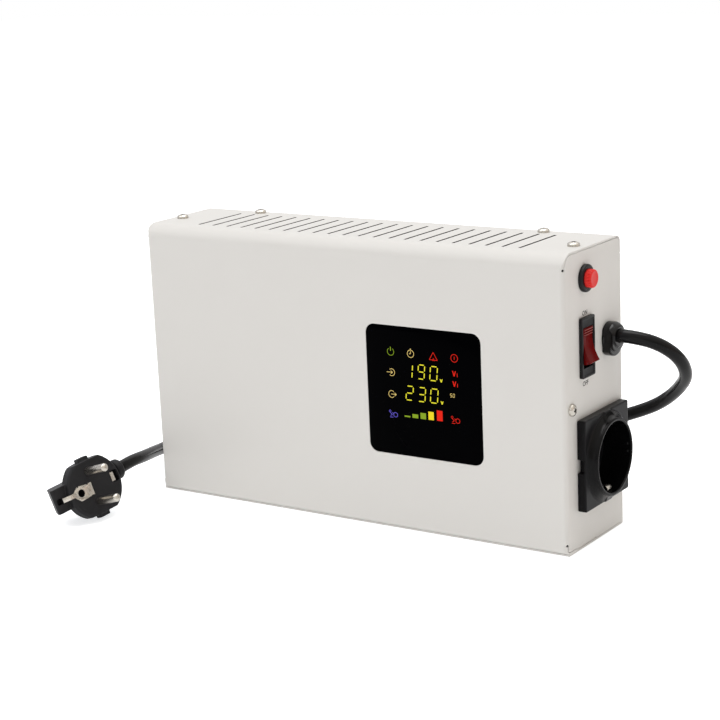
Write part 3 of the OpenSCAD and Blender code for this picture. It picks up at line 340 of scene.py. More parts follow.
def surface(name, colour, roughness, stain, grain, uneven, specular=0.5, rows=None, **shader):
    """A finish with colour that drifts, uneven gloss and a grained skin.

    stain is the size in millimetres and the share of the drift, grain the size and the height of
    the skin in millimetres. rows adds parallel lines: the axis, their spacing, their colour and
    their height.
    """
    made = bpy.data.materials.new(name)
    tree = emptied(made)
    spot = add_node(tree, "TexCoord").outputs["Object"]
    drift, skin = (
        add_node(tree, "TexNoise", {"Vector": spot, "Scale": per_mm(size), "Detail": fine})
        for size, fine in ((stain[0], 3.0), (grain[0], 2.0))
    )
    dark = [c * (1 - 2 * stain[1]) for c in colour]
    tint = mix(tree, drift.outputs[0], (*colour, 1), (*dark, 1))
    gloss = ramp(tree, skin.outputs[0], max(0.02, roughness - uneven), roughness + uneven)
    bump = add_node(
        tree, "Bump",
        {"Height": skin.outputs[0], "Strength": 1.0, "Distance": grain[1] * MM},
    )
    if rows:
        axis, spacing, row_colour, height = rows
        line = add_node(
            tree, "TexWave", {"Vector": spot, "Scale": per_mm(spacing) * pi / 10},
            bands_direction=axis,
        )
        tint = mix(tree, line.outputs[0], tint, (*row_colour, 1))
        bump = add_node(
            tree, "Bump",
            {"Height": line.outputs[0], "Strength": 1.0, "Distance": height * MM,
             "Normal": bump.outputs[0]},
        )
    skin_shader = add_node(
        tree, "BsdfPrincipled",
        {"Base Color": tint, "Roughness": gloss, "Normal": bump.outputs[0],
         "Specular IOR Level": specular, **shader},
    )
    add_node(tree, "OutputMaterial", {"Surface": skin_shader.outputs[0]})
    return made


FINISHES = {}


def finish(slot, *look, **shader):
    """Keeps a finish by the name of its slot in the record, or by a name of its own."""
    FINISHES[slot] = surface(*look, **shader)


def make_finishes(colours):
    """Makes every finish of the object."""
    # Baked polyester powder on steel: off-white and even, with a fine orange peel that spreads
    # highlights along the bends.
    finish("powder_coat", "polyester_powder_coat_baked", colours.coat, 0.5,
           (60, 0.012), (1.3, 0.012), 0.05)
    # Smoked acrylic, polished and printed black behind: nearly no colour, a clear faint mirror.
    finish("window_glass", "smoked_acrylic_polished", linear("010102"), 0.06,
           (30, 0.02), (4, 0.0004), 0.01, specular=0.01)
    # Injection moulded ABS from a spark-eroded mould: black with an even satin grain.
    finish("black_plastic", "abs_black_spark_eroded", linear("131315"), 0.4,
           (20, 0.05), (0.35, 0.004), 0.06, specular=0.22)
    # Moulded polycarbonate: black, smoother than ABS, with a soft broad sheen.
    finish("outlet_black", "polycarbonate_black_moulded", colours.outlet, 0.3,
           (18, 0.05), (0.5, 0.002), 0.04, specular=0.11)
    # The same polycarbonate, smoother, on the collar's flank and in the recess: a soft narrow shine, and a deeper
    # black that is painted shade.
    finish("outlet_smooth_painted_shade", "polycarbonate_black_smooth", linear("080809"), 0.22,
           (18, 0.05), (0.8, 0.001), 0.03, specular=0.12)
    # Moulded nylon: black with a half gloss.
    finish("gland_black", "nylon_black_moulded", linear("060607"), 0.12,
           (10, 0.05), (0.5, 0.002), 0.03, specular=0.28)
    # Soft vinyl moulded over the pins: dark grey, matt, with a fine leathery skin.
    finish("plug_black", "soft_vinyl_moulded", colours.plug, 0.44,
           (12, 0.06), (0.5, 0.004), 0.06, specular=0.16)
    # Extruded vinyl cord jacket: black and satin, with drawn marks too fine to see as lines.
    finish("cord_rubber", "vinyl_jacket_extruded", colours.cord, 0.17,
           (25, 0.06), (0.7, 0.002), 0.04, specular=0.15)
    # Woven nylon band with hooks and loops: matt black with a hairy weave.
    finish("coil_band", "nylon_hook_and_loop_woven", linear("1c1d1f"), 0.75,
           (3, 0.12), (0.5, 0.12), 0.05, **{"Sheen Weight": 0.5})
    # Pigmented nylon: a full warm red with a satin shine.
    finish("red_plastic", "nylon_red_moulded", colours.button, 0.32,
           (5, 0.05), (0.4, 0.003), 0.05, specular=0.2,
           **{"Subsurface Weight": 0.15, "Subsurface Radius": (0.002, 0.0005, 0.0005)})
    # Clear red polycarbonate, moulded: light goes in and comes back as a deep wine red.
    finish("rocker_red", "polycarbonate_clear_red", colours.rocker, 0.22,
           (3, 0.12), (0.8, 0.002), 0.03, specular=0.08,
           **{"Transmission Weight": 0.2, "IOR": 1.45})
    # The same polycarbonate on the tops of the ribs, matt and a paler red: a painted highlight where the ribs
    # catch the light.
    finish("rocker_rib_painted_highlight", "polycarbonate_red_worn", linear("963f38"), 0.45,
           (3, 0.1), (0.5, 0.004), 0.06)
    # Screen printing ink: matt dark grey that lies on the powder.
    finish("print", "screen_print_ink", colours.ink, 0.6,
           (0.8, 0.1), (0.3, 0.002), 0.05)
    # Dark grey and dull on the walls of the vent slots: painted shade, so that a slot reads as a hole.
    finish("punched_edge", "steel_edge_punched", linear("403e3c"), 0.6,
           (3, 0.1), (0.3, 0.004), 0.06, specular=0.15)
    # Nickel plate on steel, barrel polished: warm silver with small soft scratches.
    finish("nickel_steel", "nickel_plate_barrel_polished", linear("cdc8bf"), 0.26,
           (3, 0.08), (0.3, 0.003), 0.1, Metallic=1.0)
    # Nickel in the pressed recess, painted dull and dark: painted shade inside the cross recess.
    finish("recess", "nickel_plate_unpolished", linear("4a443c"), 0.55,
           (2, 0.1), (0.3, 0.006), 0.1, Metallic=1.0)
    # Zinc plate on steel: blue-grey, with the cloudy patches that the bath leaves.
    finish("zinc_steel", "zinc_plate_passivated", linear("b4b9bd"), 0.38,
           (9, 0.1), (0.5, 0.003), 0.1, Metallic=1.0)
    # Stacked silicon steel sheets, varnished: dark grey with the line of every sheet.
    finish("lamination_steel", "silicon_steel_laminations", linear("5d5f62"), 0.45,
           (20, 0.08), (0.4, 0.003), 0.08, rows=("Y", 0.5, linear("2c2d2f"), 0.05), Metallic=0.7)
    # Moulded nylon, undyed: milky cream.
    finish("bobbin_nylon", "nylon_natural_moulded", linear("e6dfca"), 0.4,
           (15, 0.04), (0.6, 0.004), 0.05,
           **{"Subsurface Weight": 0.2, "Subsurface Radius": (0.003, 0.002, 0.001)})
    # Enamelled copper wire wound in layers: shiny brown-orange rows.
    finish("copper_wire", "copper_wire_enamelled", linear("b5632a"), 0.28,
           (12, 0.1), (0.4, 0.003), 0.06, rows=("Z", 0.9, linear("5c2a10"), 0.2), Metallic=0.8)
    # Glass-epoxy board under green solder mask: glossy, with copper areas that show through.
    finish("circuit_board", "glass_epoxy_solder_masked", linear("1f6b40"), 0.3,
           (4, 0.25), (0.4, 0.006), 0.06)
    # Moulded polyester cases: mid blue, satin.
    finish("relay_blue", "polyester_blue_moulded", linear("2a5fa8"), 0.36,
           (10, 0.05), (0.4, 0.004), 0.05)
    # Wound polyester tape: yellow with the edge of each turn.
    finish("tape_yellow", "polyester_tape_wound", linear("dcb33c"), 0.3,
           (8, 0.06), (0.5, 0.002), 0.05, rows=("Z", 6, linear("b98f25"), 0.03))
    # Turned brass: yellow metal with fine tool marks.
    finish("brass_plain", "brass_turned", linear("cdae62"), 0.3,
           (4, 0.08), (0.3, 0.003), 0.08, Metallic=1.0)


SLOTS = {row["node"]: row["material_slot"] for row in frame["record"]["subparts"]}


def dress(piece, name, body="case", second=None, marks=()):
    """Gives a new piece its finish and the body it rides on.

    The marked faces get the second finish.
    """
    materials = piece.data.materials
    materials.clear()
    materials.append(FINISHES[name])
    if second:
        materials.append(FINISHES[second])
        for face, marked in zip(piece.data.polygons, marks):
            face.material_index = int(marked)
    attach(piece, body)


# Cord: the points that the CAD's route follows, in metres
GLAND_ROUTE = [
    (0.1473, 0.017, 0.1125), (0.1567, 0.02, 0.1112), (0.1645, 0.0251, 0.1081),
    (0.1701, 0.0315, 0.1029), (0.1727, 0.0386, 0.0964), (0.1723, 0.0458, 0.0895),
    (0.1693, 0.0527, 0.0829), (0.1642, 0.0589, 0.077), (0.1581, 0.0642, 0.0711),
    (0.151, 0.0684, 0.0654), (0.143, 0.0713, 0.0601), (0.1343, 0.0729, 0.0557),
    (0.125, 0.0736, 0.0518), (0.1158, 0.0739, 0.048), (0.1068, 0.0745, 0.0437),
    (0.0984, 0.0761, 0.0386), (0.0907, 0.0789, 0.0328), (0.0839, 0.0831, 0.0268),
    (0.078, 0.0886, 0.0208), (0.0727, 0.0951, 0.0155), (0.0676, 0.1025, 0.0111),
    (0.0622, 0.1102, 0.0078), (0.0561, 0.1178, 0.0056), (0.049, 0.1248, 0.0043),
    (0.0411, 0.1309, 0.0038),
]
PLUG_ROUTE = [
    (-0.0018, 0.1405, 0.01185), (-0.0152, 0.1386, 0.0117), (-0.0284, 0.1362, 0.0113),
    (-0.0416, 0.1332, 0.0108), (-0.0546, 0.1297, 0.0101), (-0.0675, 0.1258, 0.0094),
    (-0.0803, 0.1214, 0.0085), (-0.0928, 0.1164, 0.0076), (-0.1051, 0.1108, 0.0066),
    (-0.117, 0.1045, 0.0057), (-0.1284, 0.0972, 0.0048), (-0.139, 0.089, 0.0042),
    (-0.1487, 0.0795, 0.0037), (-0.157, 0.0689, 0.0037), (-0.1638, 0.0572, 0.0043),
    (-0.1685, 0.0446, 0.0056), (-0.1709, 0.0315, 0.0075), (-0.1709, 0.0182, 0.01),
    (-0.1684, 0.0052, 0.0126), (-0.1637, -0.0073, 0.0147), (-0.1581, -0.0194, 0.0171),
    (-0.1524, -0.0314, 0.0194), (-0.1473, -0.0437, 0.0215), (-0.1437, -0.0567, 0.023),
    (-0.1422, -0.0701, 0.0225),
]

# Coil: its middle and the gap between its turns in metres, where it starts, and points per turn
COIL_MIDDLE = (0.01, 0.092)
COIL_GAP = 0.0006
COIL_TURNS = 4 + 35 / 360
COIL_START = radians(60)
COIL_RINGS = 24

# Plug: where its face stands, how it is turned, and in its own frame the end of its sleeve and
# the earth hole, in millimetres and degrees
PLUG_AT = (-136.9, -99.3, 20.75)
PLUG_TURN = (9, -18, -12)
SLEEVE_END = (-10, 28, 1.4)
EARTH_HOLE = shift(0, -9.6, -0.6)


def plug_matrix():
    """From the plug's own frame to the part's, both in millimetres."""
    a, b, c = PLUG_TURN
    return shift(*PLUG_AT) @ spin(c, "Z") @ spin(b, "Y") @ spin(a, "X")


def coil_points(radius, step):
    """Centre line of the coil: two layers that spiral in and out again."""
    outer = radius + step * COIL_TURNS / 4
    total = 2 * pi * COIL_TURNS
    count = round(COIL_TURNS * COIL_RINGS)
    bottom = (step - COIL_GAP) / 2
    points = []
    for i in range(count + 1):
        along = total * i / count
        inward = min(along, total - along)
        r = outer - step * inward / (2 * pi)
        climb = min(1, max(0, (along - total / 2) / pi + 0.5))
        turn = COIL_START + along
        points.append(Vector((
            COIL_MIDDLE[0] + r * cos(turn), COIL_MIDDLE[1] + r * sin(turn),
            bottom + step * climb,
        )))
    ends = [Vector((-sin(a), cos(a), 0)) * (step - COIL_GAP)
            for a in (COIL_START, COIL_START + total)]
    return [points[0] - ends[0]] + points + [points[-1] + ends[1]]


def led(route, start, end):
    """A route moved so that it starts and ends at two given points."""
    route, n = [Vector(p) for p in route], len(route) - 1
    return [p + (1 - i / n) * (Vector(start) - route[0]) + i / n * (Vector(end) - route[n])
            for i, p in enumerate(route)]


class STABILIZER_OT_camera(bpy.types.Operator):
    """Place the camera where the photograph was taken from"""

    bl_idname = "stabilizer.camera"
    bl_label = "Camera"

    def execute(self, context):
        # The fitted camera: its turn in degrees, its place along its own axes and its lens in mm
        azimuth, elevation, roll = (radians(v) for v in (34.313, 13.616, -2.497))
        across, upward, away = -13.795, 85.488, 1123.568
        lens, film = 95.04, 36
        right = Vector((cos(azimuth), sin(azimuth), 0))
        level = Vector((sin(azimuth), -cos(azimuth), 0))
        back = cos(elevation) * level + Vector((0, 0, sin(elevation)))
        up = back.cross(right)
        side = cos(roll) * right + sin(roll) * up
        top = cos(roll) * up - sin(roll) * right
        place = (away * back + across * side + upward * top) * MM
        camera = placed("camera", bpy.data.cameras.new("camera"))
        camera.data.lens, camera.data.sensor_width = lens, film
        camera.data.clip_start, camera.data.clip_end = 0.05, 30
        axes = Matrix((side, top, back)).transposed().to_4x4()
        camera.matrix_world = Matrix.Translation(place) @ axes
        context.scene.camera = camera
        return {"FINISHED"}


class STABILIZER_OT_cord(bpy.types.Operator):
    """Lay the mains cord from the gland through its stored coil to the plug, and tie the coil"""

    bl_idname = "stabilizer.cord"
    bl_label = "Mains cord"

    def execute(self, context):
        sizes = context.scene.stabilizer_sizes
        step = sizes.cord_diameter + COIL_GAP
        coil = coil_points(sizes.coil_radius, step)
        sleeve = plug_matrix() @ Vector(SLEEVE_END) * MM
        points = led(GLAND_ROUTE, GLAND_ROUTE[0], coil[0])[:-1] + coil
        points += led(PLUG_ROUTE, coil[-1], sleeve)[1:]
        line = bpy.data.curves.new("mains_cord", "CURVE")
        line.dimensions, line.resolution_u = "3D", 5
        line.bevel_depth, line.bevel_resolution = sizes.cord_diameter / 2, 7
        line.use_fill_caps = True
        spline = line.splines.new("BEZIER")
        spline.bezier_points.add(len(points) - 1)
        for knot, place in zip(spline.bezier_points, points):
            knot.co = place
            knot.handle_left_type = knot.handle_right_type = "AUTO"
        cord = placed("mains_cord", line)
        context.view_layer.update()
        ends = [
            (spline.bezier_points[0], Vector((0.003, 0, 0))),
            (spline.bezier_points[-1], -(plug_matrix().to_3x3() @ Vector((0, 0.0018, 0)))),
        ]
        for knot, reach in ends:
            knot.handle_left_type = knot.handle_right_type = "FREE"
            knot.handle_right, knot.handle_left = knot.co + reach, knot.co - reach
        dress(cord, "cord_rubber")
        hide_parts("cord_from_gland", "cord_coil", "cord_to_plug")
        self.tie()
        return {"FINISHED"}

    def tie(self):
        """A hook-and-loop band round every turn of the coil, at the side away from the case."""
        cord, wide, middle = sizes_mm("cord_diameter", "tie_width", "coil_radius")
        reach = cord + COIL_GAP / MM
        middle, half, thick = middle - 0.2, 1.15 * reach, 0.9
        low, high, corner = 0.35, cord + reach + 0.2, 0.45 * cord
        inner = rounded(2 * half, high - low, corner, (middle, (high + low) / 2), 10)
        low, high = 0.02, high + thick
        outer = rounded(
            2 * (half + thick), high - low, corner + thick, (middle, (high + low) / 2), 10
        )
        rows = ((inner, -1), (outer, -1), (outer, 1), (inner, 1))
        points = [(a, t * wide / 2, b) for row, t in rows for a, b in row]
        n = len(inner)
        faces = [
            [i * n + k, i * n + (k + 1) % n, (i + 1) % 4 * n + (k + 1) % n, (i + 1) % 4 * n + k]
            for i in range(4) for k in range(n)
        ]
        at = shift(COIL_MIDDLE[0] / MM, COIL_MIDDLE[1] / MM) @ spin(200, "Z")
        band = new_piece("coil_tie", (points, faces), at)
        bevelled(band, 0.25, 2)
        dress(band, "coil_band")


class STABILIZER_OT_plug(bpy.types.Operator):
    """Build the plug: its moulded body, the two pins and the earth contacts"""

    bl_idname = "stabilizer.plug"
    bl_label = "Plug"

    def execute(self, context):
        r, pin_r, spacing, pin_length = sizes_mm(
            "plug_radius", "pin_radius", "pin_spacing", "pin_length"
        )
        at = plug_matrix()
        depth, rim, bevel, flat = 20, 7, 0.8, 16.2
        body = new_piece("plug_shell", turned([
            (0, -depth), (10.4, -depth), (12, -depth + 1.2), (r - bevel, -rim - bevel), (r, -rim),
            (r, -1.4), (r - 0.3, -0.7), (r - 1, -0.2), (r - 2, 0), (0, 0),
        ]))
        block = prism([
            (-3.6, -25), (-4.2, -25.9), (-5.4, -26.2), (-8.5, -24.7), (-depth + 1, -19),
            (-depth + 1, 0), (-4, 0),
        ], -6.9, 8, "Z")
        flats = [
            slab((-depth - 1, 1), (-r - 1, r + 1), (s * flat, s * (r + 1))) for s in (-1, 1)
        ]
        tabs = prism(rounded(7.4, 2 * (r - 0.4), 0.6, (0.7, -0.4)), -5.6, -0.9)
        collar = moved(turned([
            (0, 0), (7.6, 0), (6.6, 12), (6.3, 19.7), (5.9, 20.4), (4.9, 20.9), (4.9, 22.6),
            (5.9, 23.1), (6.3, 23.9), (6.2, 26.6), (5.6, 27.6), (4.4, 28), (0, 28),
        ]), shift(-10, 0, SLEEVE_END[2]) @ spin(90, "Z"))
        notch = prism(rounded(5.4, 7, 0.5, (16.1, 0)), -rim, 1)
        plate = [
            (-5.6, 3.4), (-11.4, 4.3), (-14.8, 1.7), (-14.8, -1.9), (-11.6, -5.2), (-5.8, -4.9),
            (-0.8, -4.6), (-0.6, 3.2),
        ]
        seat = prism(plate, -0.9, 1)
        channel = slab((-1, 1), (-r - 1, -12), (-1.6, 1.6))
        slope = prism(
            [(-1, -r + 1.2), (1, -r + 1.2), (1, -25), (-3.9, -21.4), (-3.9, -20.2)], -1.6, 1.6, "Z"
        )
        pocket = slab((-8, 1), (-24.9, -21), (-1.9, 1.9))
        earth = moved(rod(2.5, -12, 1, 32), EARTH_HOLE)
        # Each tool stays clear of the last, so that every cut is clean.
        carve(body, cuts=flats)
        body.data.transform(in_metres(shift(0, 1.4, -0.5)))
        carve(body, adds=[block, tabs, collar], cuts=[notch, seat, channel, slope, pocket, earth])
        soften(body, 0.34, 3)
        body.data.transform(in_metres(at))
        dress(body, "plug_black")
        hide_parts("plug_body")
        self.pins(at, pin_r, spacing / 2, pin_length)
        self.earth(at, plate, r)
        return {"FINISHED"}

    def pins(self, at, r, half, length):
        """Two round pins with a dome and a shoulder where the moulding ends."""
        dome = [
            (r * cos(a), length - 1.5 + 1.5 * sin(a))
            for a in (pi / 2 * k / 6 for k in range(6))
        ]
        pin = turned([(0, -7), (r, -7), (r, length - 1.8), *dome, (0, length)], 48)
        pair = joined(*[moved(pin, shift(0, 0, s * half)) for s in (-1, 1)])
        piece = new_piece("plug_pin_pair", pair, at)
        smooth_by_angle(piece)
        dress(piece, "nickel_steel")
        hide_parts("plug_pins")

    def earth(self, at, outline, r):
        """The plate round the earth hole with its sloping strip, and the clip on the other side."""
        centre = Vector((-7.8, -0.4))
        plate = [tuple(centre + (Vector(p) - centre) * 0.95) for p in outline]
        strip = prism([
            (-0.15, -r + 1.3), (-0.15, -14), (-0.85, -14), (-0.85, -r + 0.9), (-2.6, -20.3),
            (-3.4, -20.9), (-2.9, -21.4), (-2, -20.6),
        ], -1.35, 1.35, "Z")
        piece = new_piece("plug_earth_plate", prism(plate, -0.85, -0.15))
        hole = moved(rod(2.35, -3, 1, 40), EARTH_HOLE)
        nicks = [slab((-2, 1), y, z) for y, z in (
            ((-4.4, -3.2), (2.5, 4)), ((-3.6, -2.4), (-5.5, -4.2)), ((-11.2, -10.2), (3.4, 5)),
        )]
        carve(piece, adds=[strip], cuts=[hole, *nicks])
        clip = new_piece("plug_earth_clip", joined(*[
            slab((low, -0.9), (13.5, end), (-2.7, 2.7)) for low, end in ((-6.9, 14.2), (-1.6, 16.4))
        ]))
        for metal in (piece, clip):
            bevelled(metal, 0.12, 2)
            metal.data.transform(in_metres(at))
            dress(metal, "nickel_steel")
        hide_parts("plug_earth_contacts")


class STABILIZER_OT_outlet(bpy.types.Operator):
    """Build the outlet: its frame with collar, wedges and recess in one moulding, and its clips"""

    bl_idname = "stabilizer.outlet"
    bl_label = "Outlet"

    def execute(self, context):
        recess, tall = sizes_mm("recess_radius", "collar_height")
        low, high, middle = box_mm("outlet_frame")
        half, wall, spread = (high.z - low.z) / 2, 1.5, 3.6
        tube, rim = recess + wall, high.x
        face = rim - tall
        piece = new_piece(
            "outlet_moulding", prism(rounded(2 * half + 0.6, 2 * half, 1.1, (0.3, 0)), WALL_X, face)
        )
        flare = [
            (tube + 0.5 + spread * (1 - k / 12) ** 2.2, face + 0.94 * tall * k / 12)
            for k in range(13)
        ]
        collar = turned([
            (recess, low.x), (tube, low.x), (tube, WALL_X), (tube + 4.1, face - 1), *flare,
            (tube + 0.3, rim - 0.35), (tube - 0.1, rim), (recess + 0.4, rim), (recess, rim - 0.4),
        ], 128, closed=True)
        bore = moved(rod(recess, 0, 60, 128), shift(rim - 52))
        mouth = turned([
            (0, rim - 0.5), (recess - 0.1, rim - 0.5), (recess + 0.6, rim + 0.2),
            (recess + 0.6, rim + 2), (0, rim + 2),
        ], 128)
        wedges, latches, notches, guides = [], [], [], []
        for side in (-1, 1):
            wedges.append(self.wedge(side, tube, half, face, tall))
            out = (side * (recess + 0.2), side * (tube + 2.2))
            latches.append(slab((WALL_X - 5.4, WALL_X - 1), (-3.7, 3.7), out))
            notches.append(prism(
                rounded(6.4, 7.4, 0.4, (side * half, 0)), WALL_X - 0.3, face - 1.2
            ))
            across = (side * (recess - 0.6), side * (recess + 0.5))
            guides += [
                slab((face - 6.2, rim - 2.5), across, (z - 0.5, z + 0.5)) for z in (-2.2, 2.2)
            ]
        carve(piece, adds=[collar, *wedges], cuts=[bore, mouth, *notches])
        carve(piece, adds=[*latches, *guides])
        soften(piece, 0.36, 3)
        # The collar's flank and the recess walls take the smoother finish, whose deeper black is painted shade.
        smooth_and_shaded = []
        for part in piece.data.polygons:
            x, y, z = part.center / MM
            out = hypot(y, z)
            smooth_and_shaded.append(out < recess + 0.3 or (out < tube + 3.2 and x > face + 0.2))
        piece.data.transform(in_metres(shift(0, middle.y, middle.z)))
        dress(piece, "outlet_black", second="outlet_smooth_painted_shade", marks=smooth_and_shaded)
        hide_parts("outlet_frame")
        self.clips(middle, recess)
        return {"FINISHED"}

    def wedge(self, side, tube, half, face, tall):
        """A wedge that climbs from the plate's edge to the collar's flank."""
        near, far = side * (tube - 0.6), side * half
        outline = [(-6.2, near), (6.2, near), (3.4, far), (-3.4, far)]
        points, faces = prism(outline, face - 1.5, face + 0.6)
        for k in (4, 5):
            points[k] = (face + 0.62 * tall, *outline[k - 4])
        return points, faces

    def clips(self, middle, recess):
        """The two sprung earth clips, each with a round nose in the recess."""
        low, high, _ = box_mm("outlet_earth_clips")
        inner, nose, thick = recess - 2, high.x + 1.2, 0.7
        spots = [(low.x, inner)] + [(nose + x, inner + z) for x, z in (
            (-4.2, 0), (-2.4, -0.3), (-1, -0.9), (0, -1.1), (0.9, -0.9), (1.6, -0.3), (2, 0.4),
            (2.1, 1.3),
        )]
        outline = list(spots)
        for i in range(len(spots) - 1, -1, -1):
            a, b = Vector(spots[max(i - 1, 0)]), Vector(spots[min(i + 1, len(spots) - 1)])
            along = (b - a).normalized()
            outline.append((spots[i][0] - along.y * thick, spots[i][1] + along.x * thick))
        strip = prism(outline, -2.5, 2.5, "Y")
        pair = joined(strip, moved(strip, spin(180, "X")))
        piece = new_piece("outlet_clip_pair", pair, shift(0, middle.y, middle.z))
        bevelled(piece, 0.12, 2, 40)
        dress(piece, "nickel_steel")
        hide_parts("outlet_earth_clips")


class STABILIZER_OT_gland(bpy.types.Operator):
    """Build the cord gland: a stepped round head with two flats, and its shank in the wall"""

    bl_idname = "stabilizer.gland"
    bl_label = "Cord gland"

    def execute(self, context):
        r, cord = sizes_mm("gland_radius", "cord_diameter")
        low, high, middle = box_mm("cord_gland")
        tip, r = high.x, r - 0.2
        left, right = -7.3, 9.1
        piece = new_piece("gland_moulding", turned([
            (0, WALL_X), (r, WALL_X), (r, tip - 3.2), (r - 0.4, tip - 2.2), (8.2, tip - 0.8),
            (7.5, tip - 0.2), (6.9, tip), (0, tip),
        ], 96))
        sides = [
            slab((WALL_X - 1, tip + 1), y, (-2 * r, 2 * r))
            for y in ((-2 * r, left), (right, 2 * r))
        ]
        shank = turned([
            (0, low.x), (6.6, low.x), (7.5, low.x + 1.4), (7.5, low.x + 5.5), (8.1, low.x + 6.5),
            (8.1, WALL_X - 1), (7.5, WALL_X - 1), (7.5, WALL_X + 1), (0, WALL_X + 1),
        ], 96)
        raised = shift(0, 0, GLAND_ROUTE[0][2] / MM - middle.z)
        # Steps round the cord: the head is cut back in two rings, deepest below the cord
        steps = [
            moved(turned([
                (near, tip - deep), (2 * r, tip - deep), (2 * r, tip + 1), (near, tip + 1),
            ], 96, True), raised)
            for near, deep in ((6.2, 0.9), (8.7, 2.4))
        ]
        bore = moved(rod(cord / 2, low.x - 1, tip + 1, 64), raised)
        carve(piece, cuts=sides)
        piece.data.transform(in_metres(shift(0, 0.3, -0.4)))
        carve(piece, adds=[shank], cuts=[*steps, bore])
        soften(piece, 0.24, 3)
        piece.data.transform(in_metres(shift(0, middle.y, middle.z)))
        dress(piece, "gland_black")
        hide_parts("cord_gland")
        return {"FINISHED"}


class STABILIZER_OT_switch(bpy.types.Operator):
    """Build the rocker switch: bezel with its raised rim, ribbed rocker and printed words"""

    bl_idname = "stabilizer.switch"
    bl_label = "Switch"

    def execute(self, context):
        sizes = context.scene.stabilizer_sizes
        low, high, middle = box_mm("switch_body")
        place = (middle.y, middle.z)
        wide, tall, face = high.y - low.y, high.z - low.z, high.x
        pivot = next(j["pos_m"] for j in frame["joints"] if j["name"] == "rocker_hinge")
        pivot = shift(*(Vector(pivot) / MM))
        across, gap, well_radius = 10.4 / 2, 0.4, 12.02
        body = new_piece("switch_bezel", prism(rounded(wide, tall, 1, place), WALL_X, face))
        shell = prism(rounded(wide - 2.2, tall - 7.5, 0.3, place), low.x, WALL_X + 0.5)
        well = moved(rod(well_radius, -across - gap, across + gap, 128), pivot @ spin(90, "Z"))
        panel = prism(rounded(wide - 2.4, tall - 2.4, 0.7, place), face - 0.35, face + 1)
        carve(body, adds=[shell], cuts=[panel, well])
        bevelled(body, 0.22, 3)
        dress(body, "black_plastic")
        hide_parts("switch_body")
        self.rocker(pivot @ Matrix.Rotation(-sizes.rocker_throw, 4, "Y"), across)
        for word, y, z in (("ON", middle.y - 0.3, 129.9), ("OFF", middle.y - 0.5, 91.4)):
            self.word(word, (WALL_X, y, z), sizes.label_height)
        return {"FINISHED"}

    def rocker(self, at, across):
        """Two hollow halves that meet over the pivot, with three grip ribs on the upper one."""
        depth, rise, reach, n = 5, 1.98, 9.29, 14

        def crown(z):
            return depth + rise * abs(z / reach) ** 1.7

        side = [(crown(z), z) for z in (reach * k / n for k in range(-n, n + 1))] + [
            (6.4, reach + 0.35), (2, reach + 0.5), (-2.4, 9.3), (-4.6, 5), (-4.6, -5), (-2.4, -9.3),
            (2, -reach - 0.5), (6.4, -reach - 0.35),
        ]
        piece = new_piece("rocker_cap", prism(side, -across, across, "Y"), at)
        ribs = [
            moved(slab(
                (depth + 0.2, crown(z) + 0.5), (-across + 0.6, across - 0.6), (z - 0.19, z + 0.19)
            ), at)
            for z in (5.8, 7.15, 8.5)
        ]
        pins = moved(rod(1.3, -across - 0.7, across + 0.7, 32), at @ spin(90, "Z"))
        carve(piece, adds=[*ribs, pins])
        bevelled(piece, 0.14, 3)
        # The tops of the ribs take the paler red: painted highlight.
        back = at.inverted()
        spots = [back @ (face.center / MM) for face in piece.data.polygons]
        raised = [spot.z > 4 and spot.x > crown(spot.z) + 0.12 for spot in spots]
        dress(piece, "rocker_red", "rocker", "rocker_rib_painted_highlight", raised)
        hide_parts("power_rocker")

    def word(self, text, place, height):
        """A printed word on the side wall, as thick as a coat of ink."""
        capital = 0.73
        letters = bpy.data.curves.new("word", "FONT")
        letters.body, letters.size = text, height / capital
        letters.align_x, letters.align_y = "CENTER", "CENTER"
        letters.extrude, letters.offset = 0.02 * MM, 0.07 * MM
        letters.space_character = 1.05
        drawn = placed("word", letters)
        facing = Matrix(((0, 0, 1), (1, 0, 0), (0, 1, 0))).to_4x4()
        drawn.matrix_world = Matrix.Translation(Vector(place) * MM) @ facing
        bpy.context.view_layer.update()
        depsgraph = bpy.context.evaluated_depsgraph_get()
        flat = bpy.data.meshes.new_from_object(drawn.evaluated_get(depsgraph))
        flat.transform(drawn.matrix_world)
        bpy.data.objects.remove(drawn)
        dress(placed("printed_" + text.lower(), flat), "print")


class STABILIZER_OT_breaker(bpy.types.Operator):
    """Build the breaker's ring nut and its fluted reset button"""

    bl_idname = "stabilizer.breaker"
    bl_label = "Breaker"

    def execute(self, context):
        low, high, middle = box_mm("breaker_nut")
        at = shift(0, middle.y, middle.z)
        r, face, hole = (high.z - low.z) / 2, WALL_X + (high.x - low.x), 6.22
        nut = new_piece("breaker_ring", turned([
            (hole, WALL_X), (r, WALL_X), (r, face - 0.7), (r - 0.25, face - 0.25), (r - 0.8, face),
            (6.3, face), (hole, face - 0.1),
        ], 96, closed=True), at)
        smooth_by_angle(nut, 40)
        dress(nut, "black_plastic")
        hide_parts("breaker_nut")
        start, end = (corner.x for corner in box_mm("reset_button")[:2])
        radius, = sizes_mm("button_radius")
        flutes = context.scene.stabilizer_sizes.button_flutes
        shoulder, barrel = face + 1.2, WALL_X + 0.875

        def fluted(r, place, angle):
            if r < radius - 0.35 or place < shoulder:
                return r
            return r - 0.4 * max(0, cos(flutes * angle)) ** 2

        button = new_piece("reset_knob", turned([
            (0, start), (1.5, start), (1.5, barrel), (radius - 0.1, barrel), (radius, barrel + 0.1),
            (radius, shoulder - 0.1), (radius, shoulder + 0.3), (radius, end - 1.1),
            (radius - 0.1, end - 0.6), (radius - 0.32, end - 0.25), (radius - 0.8, end),
            (radius - 1.4, end - 0.02), (radius - 1.9, end - 0.12), (1.2, end - 0.2),
            (0, end - 0.2),
        ], 240, wave=fluted), at)
        smooth_by_angle(button, 45)
        dress(button, "red_plastic", "reset")
        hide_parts("reset_button")
        return {"FINISHED"}


